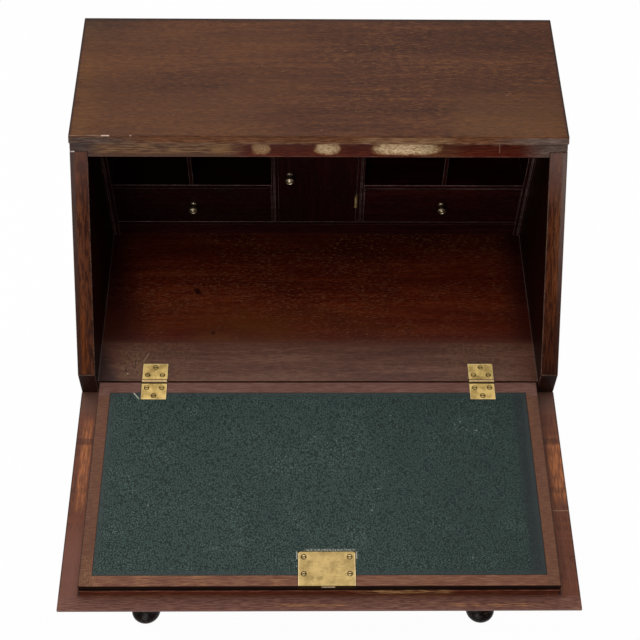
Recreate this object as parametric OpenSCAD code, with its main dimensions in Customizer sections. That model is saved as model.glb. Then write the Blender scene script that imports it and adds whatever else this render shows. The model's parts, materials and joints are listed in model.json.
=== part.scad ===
// Slope-front secretaire: a fall that opens to a leather-lined writing surface on two sliding
// lopers, a gallery of pigeonholes, small drawers and a cupboard behind it, and three long
// drawers over cabriole legs. The fall is open and the lopers are out in the rest position.

/* [Case] */
// Width over the two sides
case_w = 610; // [500:1:760]
// Depth from the front plane to the back
case_d = 408; // [380:1:460]
// Thickness of the sides
side_t = 22; // [18:0.5:25]
// Height of the writing surface above the floor
writing_h = 755; // [720:1:790]
// Thickness of the top board
top_t = 24; // [22:0.5:28]
// How far the sides are let into the top board
top_rebate = 5; // [2:0.5:8]
// Thickness of the back panel
back_t = 8; // [6:0.5:10]
// Width of the rebate in the sides that takes the back panel
back_rebate = 10; // [6:0.5:14]
// Width of the front rail of the writing bed
bed_rail_w = 60; // [50:1:80]
// Thickness of the bed panel behind the rail
bed_panel_t = 18; // [15:0.5:20]

/* [Slope and fall] */
// Angle of the slope above the horizontal
slope_angle = 48; // [46:0.5:52]
// How far the hinge line lies behind the front plane
hinge_set = 4.5; // [3.5:0.5:6]
// Length of the fall from the hinge line to its tip
fall_len = 304; // [290:1:320]
// Thickness of the raised field above the lips
field_h = 17.5; // [16:0.5:19]
// Thickness of the lips round the field
lip_t = 7; // [6:0.5:9]
// Width of the lip at the tip
tip_lip_w = 20; // [16:0.5:22]
// Depth of the rebate step in the end of the field
step_w = 2.2; // [1.5:0.1:3]
// Height of the rebate step in the end of the field
step_h = 10.4; // [9:0.1:12]
// Radius of the outer edge of the lips
lip_round = 3.5; // [2:0.5:5]
// Width of the nosing of the top board above the closed fall
nose_w = 9.2; // [7:0.1:12]

/* [Leather] */
// Thickness of the leather
leather_t = 1.4; // [1:0.1:2]
// Wooden border beside the leather
leather_side = 15; // [10:0.5:25]
// Wooden border behind the leather
leather_rear = 15; // [12:0.5:25]
// Wooden border before the leather
leather_front = 13; // [8:0.5:20]

/* [Fall hinges] */
// Distance of each hinge from the centre
hinge_x = 210; // [180:1:225]
// Width of a hinge
hinge_w = 32; // [28:1:36]
// Length of a leaf from the pin
leaf_len = 27; // [24:0.5:30]
// Thickness of a leaf
leaf_t = 1.6; // [1.2:0.1:2]
// Radius of the knuckles
knuckle_r = 2.6; // [2.2:0.1:3]
// Radius of the pins
pin_r = 1.2; // [0.8:0.1:1.4]

/* [Lock] */
// Distance of the lock from the centre
lock_x = 8; // [0:1:12]
// Width of the lock plate
lock_w = 67; // [60:1:72]
// Length of the lock plate
lock_len = 43; // [38:1:48]
// Thickness of the lock plate and its edge
lock_t = 1.6; // [1.2:0.1:2]
// Radius of the rear corners of the lock plate
lock_corner_r = 3; // [1.5:0.5:5]
// Depth of the lock case under the plate
lock_case_h = 9.4; // [8.5:0.1:11]
// Width of the bolt
bolt_w = 16; // [12:0.5:20]
// Thickness of the bolt
bolt_t = 3.4; // [2.5:0.1:4]
// Travel of the bolt
bolt_travel = 9; // [6:0.5:10]

/* [Gallery] */
// Distance of the gallery front behind the hinge line
gallery_y = 242; // [236:1:256]
// Thickness of the gallery ends
gallery_end_t = 9.5; // [7:0.5:11]
// Height of the plinth under the gallery floor
plinth_h = 23.5; // [18:0.5:28]
// Thickness of the gallery floor, shelves and top
shelf_t = 6; // [4:0.1:7]
// Height of the small drawer openings
small_drawer_h = 69; // [60:1:80]
// Clear width of the cupboard
cupboard_w = 104; // [96:1:120]
// Thickness of the partitions beside the cupboard
partition_t = 9.5; // [7:0.5:11]
// Thickness of the pigeonhole dividers
divider_t = 5; // [4:0.5:6]
// Width of the groove that parts the two reeds on the front of an end or a partition
reed_groove_w = 1.8; // [1.2:0.1:2.4]
// Depth of the groove between the reeds
reed_groove_d = 1.8; // [1:0.1:2.4]
// Thickness of the gallery back
gallery_back_t = 4; // [3:0.5:6]
// Thickness of the cupboard door
door_t = 14; // [12:0.5:16]
// Height of the cupboard door knob above the writing surface
door_knob_z = 125; // [105:1:145]
// Distance of the door knob from the free edge of the door
door_knob_inset = 14; // [10:0.5:20]
// Radius of the small knobs
small_knob_r = 6; // [5:0.25:7]

/* [Long drawers and lopers] */
// Height of the top drawer opening
drawer_1_h = 92; // [84:1:100]
// Height of the middle drawer opening
drawer_2_h = 122; // [110:1:130]
// Height of the bottom drawer opening
drawer_3_h = 150; // [140:1:160]
// Thickness of the rails between the drawers
rail_t = 16; // [14:0.5:20]
// Depth of the rails between the drawers
rail_w = 60; // [50:1:80]
// Thickness of the bottom board
bottom_t = 20; // [18:0.5:24]
// Thickness of the long drawer fronts
front_t = 18; // [16:0.5:20]
// Thickness of the long drawer sides
drawer_side_t = 9; // [8:0.5:11]
// Thickness of the long drawer bottoms
drawer_bottom_t = 5; // [4:0.5:6]
// Length of the dovetails of the long drawers
tail_len = 12; // [9:0.5:13]
// Usual distance from one dovetail to the next
tail_pitch = 25; // [20:1:32]
// Width of the cock bead round the front of a long drawer
cock_bead_w = 3.2; // [2.6:0.1:4]
// How far the cock bead stands out from the front
cock_bead_out = 1.4; // [1:0.1:1.6]
// Radius of the long drawer knobs
drawer_knob_r = 13; // [11:0.5:15]
// Width of a loper
loper_w = 20; // [18:0.5:22]
// Length of a loper
loper_len = 360; // [340:1:370]
// How far the lopers pull out
loper_travel = 240; // [200:1:260]
// Thickness of the partitions beside the lopers
loper_partition_t = 16; // [14:0.5:18]

/* [Base] */
// How far the base moulding stands out from the case
moulding_out = 10; // [8:0.5:12]
// Height of the base moulding
moulding_h = 24; // [20:0.5:28]
// Size of the square block at the top of each leg
leg_block = 60; // [54:1:66]
// Radius of the pad foot
pad_r = 25; // [23:0.5:28]
// Radius of the ankle
ankle_r = 13; // [11:0.5:15]
// How far the knee swells beyond the block
knee_swell = 9; // [5:0.5:10]
// How far the middle of a pad foot lies inside the corner of the case
pad_inset = 12; // [8:0.5:20]

/* [Clearances] */
// Gap between the closed lips and the slope
lip_gap = 0.4; // [0.3:0.1:0.8]
// Gap between the tip of the closed fall and the shoulder of the top
tip_gap = 1.2; // [1:0.1:2]
// Gap between the field and each side
field_gap = 2.5; // [1.5:0.1:4]
// Gap between the hinge line and the rear edge of the fall
fall_gap = 2; // [1:0.1:3]
// Gap between the hinge line and the writing bed
bed_gap = 0.6; // [0.4:0.1:1.5]
// Gap round a moving drawer front, door or loper
run_gap = 0.8; // [0.5:0.1:1.2]
// Gap between the fall and the lopers and the top drawer
fall_under_gap = 0.3; // [0.2:0.1:0.6]
// How far the base moulding stays below the bottom drawer
moulding_drop = 1; // [0.5:0.5:3]
// Radial clearance of a pin in its knuckle
pin_gap = 0.05; // [0.03:0.01:0.08]
// Gap between the knuckles of a hinge
knuckle_gap = 0.25; // [0.2:0.05:0.4]
// Glue line between the lengths of a mitred, boxed or dovetailed joint
glue_line = 0.1; // [0.05:0.05:0.2]
// Gap behind a pushed-in long drawer
drawer_rear_gap = 12; // [6:1:20]
// Gap behind a pushed-in small drawer
small_rear_gap = 3; // [1:0.5:8]

/* [Hidden] */

mahogany = "#6d4836";
dark_mahogany = "#4a211a";
drawer_lining = "#a9794e";
brass = "#c8aa64";
hide_green = "#3a463f";

// Facets of turned pieces and of small holes
turned_fn = 48;
small_fn = 24;

// How far a cut runs out of a piece, or one part of a piece runs into another
run_out = 1;

// The origin is on the floor, in the middle of the box that the open secretaire fills
hinge_y = (fall_len + hinge_set - case_d) / 2;
front_y = hinge_y - hinge_set;
back_y = front_y + case_d;
panel_y = back_y - back_t;
half_w = case_w / 2;
inner_w = case_w - 2 * side_t;
inner_half = inner_w / 2;

// Section of the slope, in a frame with the hinge line at its origin
function slope_point(s, d) = [
    s * cos(slope_angle) - d * sin(slope_angle),
    s * sin(slope_angle) + d * cos(slope_angle)
];
fall_t = field_h + lip_t;
slope_d = field_h - lip_gap;
shoulder_s = fall_len + tip_gap;
top_arris = slope_point(shoulder_s + nose_w, slope_d + lip_t);
top_z = top_arris[1];
under_z = top_z - top_t;
lap_s = (under_z - slope_d * cos(slope_angle)) / sin(slope_angle);
side_top_z = under_z + top_rebate;
side_top_s = (side_top_z - slope_d * cos(slope_angle)) / sin(slope_angle);
slope_start_s = (slope_d * sin(slope_angle) - hinge_set) / cos(slope_angle);
closing_angle = 180 - slope_angle;

// Levels of the lower case, from the floor
bed_t = fall_t;
opening_1_top = writing_h - bed_t;
opening_1_floor = opening_1_top - drawer_1_h;
opening_2_top = opening_1_floor - rail_t;
opening_2_floor = opening_2_top - drawer_2_h;
opening_3_top = opening_2_floor - rail_t;
opening_3_floor = opening_3_top - drawer_3_h;
leg_h = opening_3_floor - bottom_t;

// Field and lips of the fall, in the hinge frame, with the fall open
field_half = inner_half - field_gap;
field_end = fall_len - tip_lip_w - step_w;
lip_rear = hinge_set + run_out;

// Leather, in the hinge frame
leather_half = field_half - leather_side;
leather_y0 = -(field_end - leather_front);
leather_y1 = -(fall_gap + leather_rear);
inlay_gap = 0.2;

// Knuckles of the fall hinges
knuckle_count = 5;
knuckle_pitch = hinge_w / knuckle_count;
knuckle_room = 0.4;
leaf_notch = knuckle_r + 0.5;
screw_head_r = 2.9;
screw_shank_r = 1.4;
screw_len = 11;
screw_fit = 0.1;
screw_head_h = 1.3;
slot_half = 0.35;
slot_depth = 0.5;
screw_rows = [[-hinge_w * 0.3, leaf_len * 0.36], [hinge_w * 0.3, leaf_len * 0.36], [0, leaf_len * 0.8]];

// Lock
bolt_cover = 1.2;
bolt_z = -(lock_t + bolt_cover + bolt_t / 2);
bolt_x = lock_x + 1.5;
bolt_len = 22;
bolt_end_space = 5;
bolt_fit = 0.25;
mortise_fit = 1;
mortise_depth = 12;
lock_case_inset = 7.5;
lock_case_w = lock_w - 2 * lock_case_inset;
lock_case_len = lock_len - 6;
lock_end = -field_end;
lock_screw_inset = 6.5;
lock_screw_x = lock_w / 2 - lock_screw_inset;
lock_screw_set = 15;
lock_screw_y = [lock_end + lock_len - lock_screw_inset, lock_end + lock_screw_set];
keyhole_set = 21;
keyhole_y = lock_end + keyhole_set;
keyhole_r = 2.4;
keyhole_slot = 2.4;
keyhole_drop = 7;
liner_wall = 1.3;
liner_h = 3;
rivet_r = 1.2;
rivet_h = 0.35;
lock_rivets = [[-6, 19], [7, 30], [2, 34]];

// Gallery, in the hinge frame
gallery_back_y = panel_y - hinge_y;
gallery_d = gallery_back_y - gallery_y;
gallery_half = inner_half - gallery_end_t;
gallery_floor_z = plinth_h + shelf_t;
shelf_z = gallery_floor_z + small_drawer_h;
gallery_top_z = under_z - shelf_t;
partition_x = cupboard_w / 2;
cell_x0 = partition_x + partition_t;
cell_w = gallery_half - cell_x0;
cell_mid = cell_x0 + cell_w / 2;
cell_d = gallery_d - gallery_back_t;
plinth_set = 3;
plinth_t = 8;
reed_share = 0.62;

// Cupboard door
door_w = cupboard_w - 2 * run_gap;
door_z0 = gallery_floor_z + run_gap;
door_h = gallery_top_z - gallery_floor_z - 2 * run_gap;
door_pin_x = partition_x - run_gap / 2;
door_barrel_r = 2;
door_pin_y = gallery_y - door_barrel_r - 0.2;
door_pin_r = 0.8;
door_edge_x = partition_x - run_gap;
door_knob_x = door_edge_x - door_w + door_knob_inset;
door_hinge_h = 22;
door_hinge_inset = 33;
door_hinge_z = [door_z0 + door_hinge_inset, door_z0 + door_h - door_hinge_inset - door_hinge_h];
door_leaf_t = 0.8;
door_leaf_d = 11;
door_leaf_notch = door_barrel_r + 0.4;

// Long drawers
loper_slot_w = loper_w + 2 * run_gap;
loper_x = inner_half - loper_slot_w / 2;
loper_h = drawer_1_h - 2 * fall_under_gap;
top_drawer_half = inner_half - loper_slot_w - loper_partition_t;
drawer_len = panel_y - front_y - drawer_rear_gap;
runner_t = rail_t;
runner_ledge = 14;
runner_1_w = loper_slot_w + loper_partition_t + runner_ledge;
runner_2_w = 2 * runner_ledge;
drawer_groove = 4;
drawer_lift = 6;
drawer_side_drop = 5;
drawer_knob_share = 0.56;
tail_share = 0.8;
tail_slope = 0.16;
tail_margin = 4;
cock_bead_inset = 0.3;

// Small drawers
small_front_t = 10;
small_side_t = 6;
small_bottom_t = 4;
small_side_drop = 4;
small_half = cell_w / 2 - run_gap;
small_z0 = gallery_floor_z + fall_under_gap;
small_h = small_drawer_h - fall_under_gap - run_gap;
small_back_y = gallery_y + cell_d - small_rear_gap;
small_knob_z = small_z0 + small_h / 2 + 2;

// Radius and length of the pegs of the knobs
small_peg = [2, 8];
loper_peg = [2.5, 12];
drawer_peg = [4, 12];

// A box from its lowest corner to its highest corner
module span(low, high) {
    translate(low) cube(high - low);
}

// Moves children from the hinge frame to their place
module at_hinge() {
    translate([0, hinge_y, writing_h]) children();
}

// Turns children in the hinge frame from the open fall to the closed fall
module closed() {
    rotate([-closing_angle, 0, 0]) children();
}

// Draws a Y-Z outline as a board that lies across the case
module board_across(width) {
    rotate([90, 0, 90]) linear_extrude(width, center = true) children();
}

// Turned knob with a round head, a thin neck, a foot and a peg, pointing along +Z
module turned_knob(head_r, peg) {
    head_z = head_r * 1.75;
    head_h = head_r * 0.62;
    neck_r = head_r * 0.38;
    foot_r = head_r * 0.74;
    foot_h = head_r * 0.2;
    cove_h = (head_z - head_h - foot_h) * 0.8;
    rotate_extrude($fn = turned_fn) polygon(concat(
        [[0, -peg[1]], [peg[0], -peg[1]], [peg[0], 0], [foot_r, 0]],
        [for (a = [0 : 15 : 90]) [foot_r - (foot_r - neck_r) * sin(a), foot_h + cove_h * (1 - cos(a))]],
        [for (a = [-50 : 10 : 90]) [head_r * cos(a), head_z + head_h * sin(a)]]
    ));
}

// Countersunk screw with its head at z = 0, pointing down
module slotted_screw(length) {
    difference() {
        union() {
            translate([0, 0, -screw_head_h])
                cylinder(h = screw_head_h, r1 = screw_shank_r, r2 = screw_head_r, $fn = small_fn);
            translate([0, 0, -length]) cylinder(h = length - screw_head_h, r = screw_shank_r, $fn = small_fn);
        }
        span([-screw_head_r, -slot_half, -slot_depth], [screw_head_r, slot_half, run_out]);
    }
}

// Hole that a countersunk screw seats in, with its mouth at z = 0
module screw_seat(length) {
    translate([0, 0, -screw_head_h - screw_fit])
        cylinder(h = screw_head_h + 2 * screw_fit, r1 = screw_shank_r + screw_fit,
            r2 = screw_head_r + 2 * screw_fit, $fn = small_fn);
    translate([0, 0, -length - screw_fit])
        cylinder(h = length, r = screw_shank_r + screw_fit, $fn = small_fn);
}

// Hole for a knob's peg, with its mouth facing -Y
module knob_hole(peg) {
    translate([0, -run_out, 0]) rotate([-90, 0, 0])
        cylinder(h = peg[1] + run_out + screw_fit, r = peg[0] + screw_fit, $fn = small_fn);
}

// Knob that stands out along -Y
module front_knob(head_r, peg) {
    rotate([90, 0, 0]) turned_knob(head_r, peg);
}

// Places children at both hinges
module both_hinges() {
    for (side = [-1, 1]) translate([side * hinge_x, 0, 0]) children();
}

// Recess in a board for one leaf that lies along +Y, its knuckles and its screws
module hinge_recess() {
    rotate([0, 90, 0])
        cylinder(h = hinge_w + 2 * knuckle_room, r = knuckle_r + knuckle_room, center = true, $fn = small_fn);
    span([-hinge_w / 2, -run_out, -leaf_t], [hinge_w / 2, leaf_len, run_out]);
    for (p = screw_rows) translate([p[0], p[1], 0]) screw_seat(screw_len);
}

// Case

module top_outline() {
    polygon([
        slope_point(lap_s, slope_d),
        slope_point(shoulder_s, slope_d),
        slope_point(shoulder_s, slope_d + lip_t),
        top_arris,
        [back_y - hinge_y, top_z],
        [back_y - hinge_y, under_z]
    ]);
}

module top_board() {
    color(mahogany) at_hinge() difference() {
        board_across(case_w) top_outline();
        for (side = [-1, 1]) translate([side * half_w, 0, 0])
            span([-side_t, 0, under_z - run_out], [side_t, case_d, side_top_z]);
        closed() bolt_path(mortise_fit, mortise_depth);
    }
}

module side_outline() {
    polygon([
        [-hinge_set, leg_h - writing_h],
        [-hinge_set, slope_point(slope_start_s, slope_d)[1]],
        slope_point(side_top_s, slope_d),
        [back_y - hinge_y, side_top_z],
        [back_y - hinge_y, leg_h - writing_h]
    ]);
}

module case_side() {
    difference() {
        translate([half_w - side_t / 2, 0, 0]) board_across(side_t) side_outline();
        span([inner_half - run_out, panel_y - hinge_y, leg_h - writing_h - run_out],
            [inner_half + back_rebate, case_d, under_z]);
    }
}

module left_side() {
    color(mahogany) at_hinge() mirror([1, 0, 0]) case_side();
}

module right_side() {
    color(mahogany) at_hinge() case_side();
}

module back_panel() {
    color(dark_mahogany) span([-inner_half - back_rebate, panel_y, leg_h],
        [inner_half + back_rebate, back_y, writing_h + under_z]);
}

module bed_rail() {
    color(mahogany) at_hinge() difference() {
        span([-inner_half, bed_gap, -bed_t], [inner_half, bed_rail_w, 0]);
        both_hinges() hinge_recess();
    }
}

module bed_panel() {
    color(dark_mahogany) span([-inner_half, hinge_y + bed_rail_w, writing_h - bed_panel_t],
        [inner_half, panel_y, writing_h]);
}

module drawer_rails() {
    color(mahogany) for (z = [opening_2_top, opening_3_top])
        span([-inner_half, front_y, z], [inner_half, front_y + rail_w, z + rail_t]);
}

module bottom_board() {
    color(dark_mahogany) span([-inner_half, front_y, leg_h], [inner_half, panel_y, leg_h + bottom_t]);
}

module loper_partitions() {
    color(dark_mahogany) for (side = [-1, 1])
        translate([side * (top_drawer_half + loper_partition_t / 2), 0, 0])
            span([-loper_partition_t / 2, front_y, opening_1_floor],
                [loper_partition_t / 2, panel_y, opening_1_top]);
}

module runner_pair(width, z) {
    for (side = [-1, 1]) translate([side * (inner_half - width / 2), 0, 0])
        span([-width / 2, front_y + rail_w, z], [width / 2, panel_y, z + runner_t]);
}

module drawer_runners() {
    color(drawer_lining) {
        runner_pair(runner_1_w, opening_2_top);
        runner_pair(runner_2_w, opening_3_top);
    }
}

// Section of the base moulding: a hollow over a half round, standing out along +X
module moulding_outline() {
    hollow_r = moulding_out * 0.8;
    round_r = moulding_h * 0.21;
    difference() {
        square([moulding_out, moulding_h]);
        translate([moulding_out, moulding_h]) circle(r = hollow_r, $fn = turned_fn);
        translate([moulding_out - round_r, 0]) difference() {
            translate([0, -run_out]) square([round_r + run_out, round_r + run_out]);
            translate([0, round_r]) circle(r = round_r, $fn = turned_fn);
        }
    }
}

module base_moulding() {
    z = leg_h + bottom_t - moulding_drop - moulding_h;
    corner_x = half_w + moulding_out;
    corner_y = front_y - moulding_out;
    color(mahogany) {
        // front length, mitred at both ends
        intersection() {
            translate([0, front_y, z]) rotate([90, 0, -90])
                linear_extrude(2 * corner_x, center = true) moulding_outline();
            linear_extrude(3 * writing_h, center = true) polygon([
                [-corner_x + glue_line, corner_y], [corner_x - glue_line, corner_y],
                [half_w - moulding_out - glue_line, front_y + moulding_out],
                [-half_w + moulding_out + glue_line, front_y + moulding_out]
            ]);
        }
        // side lengths, mitred at the front
        for (side = [0, 1]) mirror([side, 0, 0]) intersection() {
            translate([half_w, (back_y + corner_y) / 2, z]) rotate([90, 0, 0])
                linear_extrude(back_y - corner_y, center = true) moulding_outline();
            linear_extrude(3 * writing_h, center = true) polygon([
                [corner_x, corner_y], [half_w - moulding_out, front_y + moulding_out],
                [half_w - moulding_out, back_y], [corner_x, back_y]
            ]);
        }
    }
}

// Cabriole leg: stations from the floor up, each with its height, how far its middle has
// moved out from the middle of the block, its half width and how square it is
pad_out = leg_block / 2 - pad_inset;
leg_stations = [
    [0, pad_out, pad_r * 0.82, 2],
    [3, pad_out, pad_r * 0.97, 2],
    [8, pad_out, pad_r, 2],
    [13, pad_out, pad_r * 0.93, 2],
    [20, pad_out * 0.86, pad_r * 0.7, 2],
    [32, pad_out * 0.6, ankle_r * 1.12, 2],
    [52, pad_out * 0.32, ankle_r, 2],
    [100, pad_out * 0.06, ankle_r * 1.12, 2.1],
    [160, pad_out * 0.02, ankle_r * 1.42, 2.3],
    [leg_h - 95, pad_out * 0.3, leg_block * 0.4, 2.8],
    [leg_h - 55, knee_swell, leg_block / 2, 3.6],
    [leg_h - 30, knee_swell * 0.6, leg_block / 2, 5],
    [leg_h - 14, 0, leg_block / 2, 9],
    [leg_h, 0, leg_block / 2, 9]
];
leg_sides = 28;

// Superellipse point of half width r and squareness q at angle a
function block_point(r, q, a) = [
    r * sign(cos(a)) * pow(abs(cos(a)), 2 / q),
    r * sign(sin(a)) * pow(abs(sin(a)), 2 / q)
];

// Smooth value between stations i and i + 1 of column c, at share u of the way
function spline_at(i, c, u) =
    let (n = len(leg_stations) - 1,
        a = leg_stations[max(i - 1, 0)][c],
        b = leg_stations[i][c],
        d = leg_stations[min(i + 1, n)][c],
        e = leg_stations[min(i + 2, n)][c],
        ha = leg_stations[max(i - 1, 0)][0],
        hb = leg_stations[i][0],
        hd = leg_stations[min(i + 1, n)][0],
        he = leg_stations[min(i + 2, n)][0],
        h = hd - hb,
        m0 = i == 0 ? 0 : (d - a) / (hd - ha) * h,
        m1 = i + 1 >= n ? 0 : (e - b) / (he - hb) * h)
    b * (1 + 2 * u) * pow(1 - u, 2) + m0 * u * pow(1 - u, 2)
        + d * u * u * (3 - 2 * u) + m1 * u * u * (u - 1);

leg_rings = concat(
    [for (i = [0 : len(leg_stations) - 2]) for (u = [0, 0.5]) [
        leg_stations[i][0] + u * (leg_stations[i + 1][0] - leg_stations[i][0]),
        spline_at(i, 1, u), spline_at(i, 2, u), spline_at(i, 3, u)]],
    [leg_stations[len(leg_stations) - 1]]
);

// Leg with its block centred on the origin; out_x and out_y say how far it sweeps each way
module cabriole_leg(out_x, out_y) {
    points = [for (ring = leg_rings) for (k = [0 : leg_sides - 1])
        let (p = block_point(ring[2], ring[3], 360 * (k + 0.5) / leg_sides))
        [p[0] + out_x * ring[1], p[1] + out_y * ring[1], ring[0]]];
    count = len(leg_rings);
    bottom = [for (k = [0 : leg_sides - 1]) k];
    top = [for (k = [leg_sides - 1 : -1 : 0]) (count - 1) * leg_sides + k];
    walls = [for (i = [0 : count - 2]) for (k = [0 : leg_sides - 1])
        let (a = i * leg_sides + k,
            b = i * leg_sides + (k + 1) % leg_sides)
        each [[a, a + leg_sides, b + leg_sides], [a, b + leg_sides, b]]];
    polyhedron(points, concat([bottom], walls, [top]));
}

module leg_at(side_x, front) {
    inset = leg_block / 2;
    y = front ? front_y + inset : back_y - inset;
    color(dark_mahogany) translate([side_x * (half_w - inset), y, 0])
        cabriole_leg(side_x, front ? -1 : 0);
}

module leg_front_left() { leg_at(-1, true); }
module leg_front_right() { leg_at(1, true); }
module leg_back_left() { leg_at(-1, false); }
module leg_back_right() { leg_at(1, false); }

// Fall hinges

// One leaf that lies along +Y, with the knuckles of the given numbers
module hinge_leaf(own) {
    difference() {
        union() {
            span([-hinge_w / 2, leaf_notch, -leaf_t], [hinge_w / 2, leaf_len, 0]);
            for (k = own) translate([-hinge_w / 2 + k * knuckle_pitch + knuckle_gap / 2, 0, 0]) {
                rotate([0, 90, 0]) cylinder(h = knuckle_pitch - knuckle_gap, r = knuckle_r, $fn = small_fn);
                span([0, 0, -leaf_t], [knuckle_pitch - knuckle_gap, leaf_notch + run_out, 0]);
            }
        }
        rotate([0, 90, 0])
            cylinder(h = hinge_w + 2 * run_out, r = pin_r + pin_gap, center = true, $fn = small_fn);
        for (p = screw_rows) translate([p[0], p[1], 0]) screw_seat(screw_len);
    }
}

module bed_hinge_leaves() {
    color(brass) at_hinge() both_hinges() hinge_leaf([0, 2, 4]);
}

module fall_hinge_leaves() {
    color(brass) at_hinge() both_hinges() mirror([0, 1, 0]) hinge_leaf([1, 3]);
}

module fall_hinge_pins() {
    color(brass) at_hinge() both_hinges()
        rotate([0, 90, 0]) cylinder(h = hinge_w, r = pin_r, center = true, $fn = small_fn);
}

module hinge_screws() {
    both_hinges() for (p = screw_rows) translate([p[0], p[1], 0]) slotted_screw(screw_len);
}

module bed_hinge_screws() {
    color(brass) at_hinge() hinge_screws();
}

module fall_hinge_screws() {
    color(brass) at_hinge() mirror([0, 1, 0]) hinge_screws();
}

// Fall

// Slab of the lips, with its outer edges rounded at the tip and both sides
module lip_slab() {
    d = fall_len - lip_rear;
    intersection() {
        translate([0, -lip_rear - d / 2, -fall_t]) rotate([90, 0, 0])
            linear_extrude(d, center = true) rounded_strip(case_w, true);
        translate([0, -lip_rear, -fall_t]) rotate([90, 0, -90])
            linear_extrude(case_w, center = true) rounded_strip(2 * d, false);
    }
}

// Section of the slab: lower corners rounded, on both sides or on the far side only
module rounded_strip(width, both) {
    low = both ? -width / 2 : 0;
    high = width / 2;
    difference() {
        translate([low, 0]) square([high - low, lip_t]);
        for (side = both ? [-1, 1] : [1]) translate([side * high, 0]) difference() {
            square(2 * lip_round, center = true);
            translate([-side * lip_round, lip_round]) circle(r = lip_round, $fn = turned_fn);
        }
    }
}

// Outline of the lock plate, rounded at its rear corners
module lock_outline() {
    difference() {
        translate([-lock_w / 2, 0]) square([lock_w, lock_len]);
        for (side = [-1, 1]) translate([side * lock_w / 2, lock_len]) difference() {
            square(2 * lock_corner_r, center = true);
            translate([-side * lock_corner_r, -lock_corner_r]) circle(r = lock_corner_r, $fn = turned_fn);
        }
    }
}

// Space that the lock plate, its edge and its case take
module lock_body() {
    translate([lock_x, 0, 0]) {
        translate([0, lock_end, -lock_t]) linear_extrude(lock_t) lock_outline();
        span([-lock_w / 2, lock_end, -step_h], [lock_w / 2, lock_end + lock_t, 0]);
        span([-lock_case_w / 2, lock_end, -lock_t - lock_case_h],
            [lock_case_w / 2, lock_end + lock_case_len, 0]);
    }
}

// Space that the bolt sweeps, widened by a fit and run out past the end of the fall
module bolt_path(fit, reach) {
    translate([bolt_x, 0, bolt_z])
        span([-bolt_w / 2 - fit, lock_end - reach, -bolt_t / 2 - fit],
            [bolt_w / 2 + fit, lock_end + bolt_len + bolt_end_space, bolt_t / 2 + fit]);
}

// Keyhole outline, grown by a wall
module keyhole_outline(wall) {
    circle(r = keyhole_r + wall, $fn = turned_fn);
    translate([-keyhole_slot / 2 - wall, 0]) square([keyhole_slot + 2 * wall, keyhole_drop + wall]);
}

module fall_board() {
    color(mahogany) at_hinge() difference() {
        union() {
            lip_slab();
            span([-field_half, -field_end, -fall_t + lip_t / 2], [field_half, -lip_rear - run_out, 0]);
            span([-field_half, -field_end - step_w, -fall_t + lip_t / 2],
                [field_half, -lip_rear - run_out, -step_h]);
            span([-field_half, -lip_rear - 2 * run_out, -fall_t], [field_half, -fall_gap, 0]);
        }
        span([-leather_half, leather_y0, -leather_t - inlay_gap], [leather_half, leather_y1, run_out]);
        lock_body();
        translate([bolt_x, keyhole_y, -fall_t - run_out]) {
            linear_extrude(fall_t) keyhole_outline(0);
            linear_extrude(liner_h + run_out) keyhole_outline(liner_wall);
        }
        for (x = [-1, 1]) for (y = lock_screw_y)
            translate([lock_x + x * lock_screw_x, y, 0]) screw_seat(screw_len);
        mirror([0, 1, 0]) both_hinges() hinge_recess();
    }
}

module leather_panel() {
    color(hide_green) at_hinge() difference() {
        span([-leather_half + inlay_gap, leather_y0 + inlay_gap, -leather_t - inlay_gap],
            [leather_half - inlay_gap, leather_y1 - inlay_gap, -inlay_gap]);
        both_hinges() span([-hinge_w / 2 - inlay_gap, -leaf_len - inlay_gap, -fall_t],
            [hinge_w / 2 + inlay_gap, 0, run_out]);
        translate([lock_x, 0, 0]) span([-lock_w / 2 - inlay_gap, -fall_len, -fall_t],
            [lock_w / 2 + inlay_gap, lock_end + lock_len + inlay_gap, run_out]);
    }
}

module fall_lock() {
    color(brass) at_hinge() difference() {
        union() {
            lock_body();
            for (p = lock_rivets) translate([lock_x + p[0], lock_end + p[1], -lock_t / 2])
                cylinder(h = lock_t / 2 + rivet_h, r = rivet_r, $fn = small_fn);
        }
        bolt_path(bolt_fit, run_out);
        translate([bolt_x, keyhole_y, -lock_t - lock_case_h - run_out])
            linear_extrude(lock_case_h + run_out + lock_t / 2) keyhole_outline(0);
        for (x = [-1, 1]) for (y = lock_screw_y)
            translate([lock_x + x * lock_screw_x, y, 0]) screw_seat(screw_len);
    }
}

module lock_screws() {
    color(brass) at_hinge() for (x = [-1, 1]) for (y = lock_screw_y)
        translate([lock_x + x * lock_screw_x, y, 0]) slotted_screw(screw_len);
}

module keyhole_liner() {
    color(brass) at_hinge() translate([bolt_x, keyhole_y, -fall_t]) linear_extrude(liner_h)
        difference() {
            keyhole_outline(liner_wall);
            keyhole_outline(0);
        }
}

module lock_bolt() {
    rear = lock_end + bolt_len - bolt_travel;
    color(brass) at_hinge() translate([bolt_x, 0, bolt_z])
        span([-bolt_w / 2, lock_end, -bolt_t / 2], [bolt_w / 2, rear, bolt_t / 2]);
}

// Gallery

module gallery_floor() {
    color(mahogany) at_hinge() span([-gallery_half, gallery_y, plinth_h],
        [gallery_half, gallery_back_y - gallery_back_t, gallery_floor_z]);
}

module gallery_plinth() {
    color(dark_mahogany) at_hinge() span([-gallery_half, gallery_y + plinth_set, 0],
        [gallery_half, gallery_y + plinth_set + plinth_t, plinth_h]);
}

// Groove along the front edge of an upright that starts at x and is t thick
module reed_groove(x, t) {
    translate([x + reed_share * t, gallery_y, -run_out])
        linear_extrude(gallery_top_z + shelf_t + 2 * run_out) polygon([
            [-reed_groove_w, -reed_groove_d], [reed_groove_w, -reed_groove_d], [0, reed_groove_d]
        ]);
}

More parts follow.
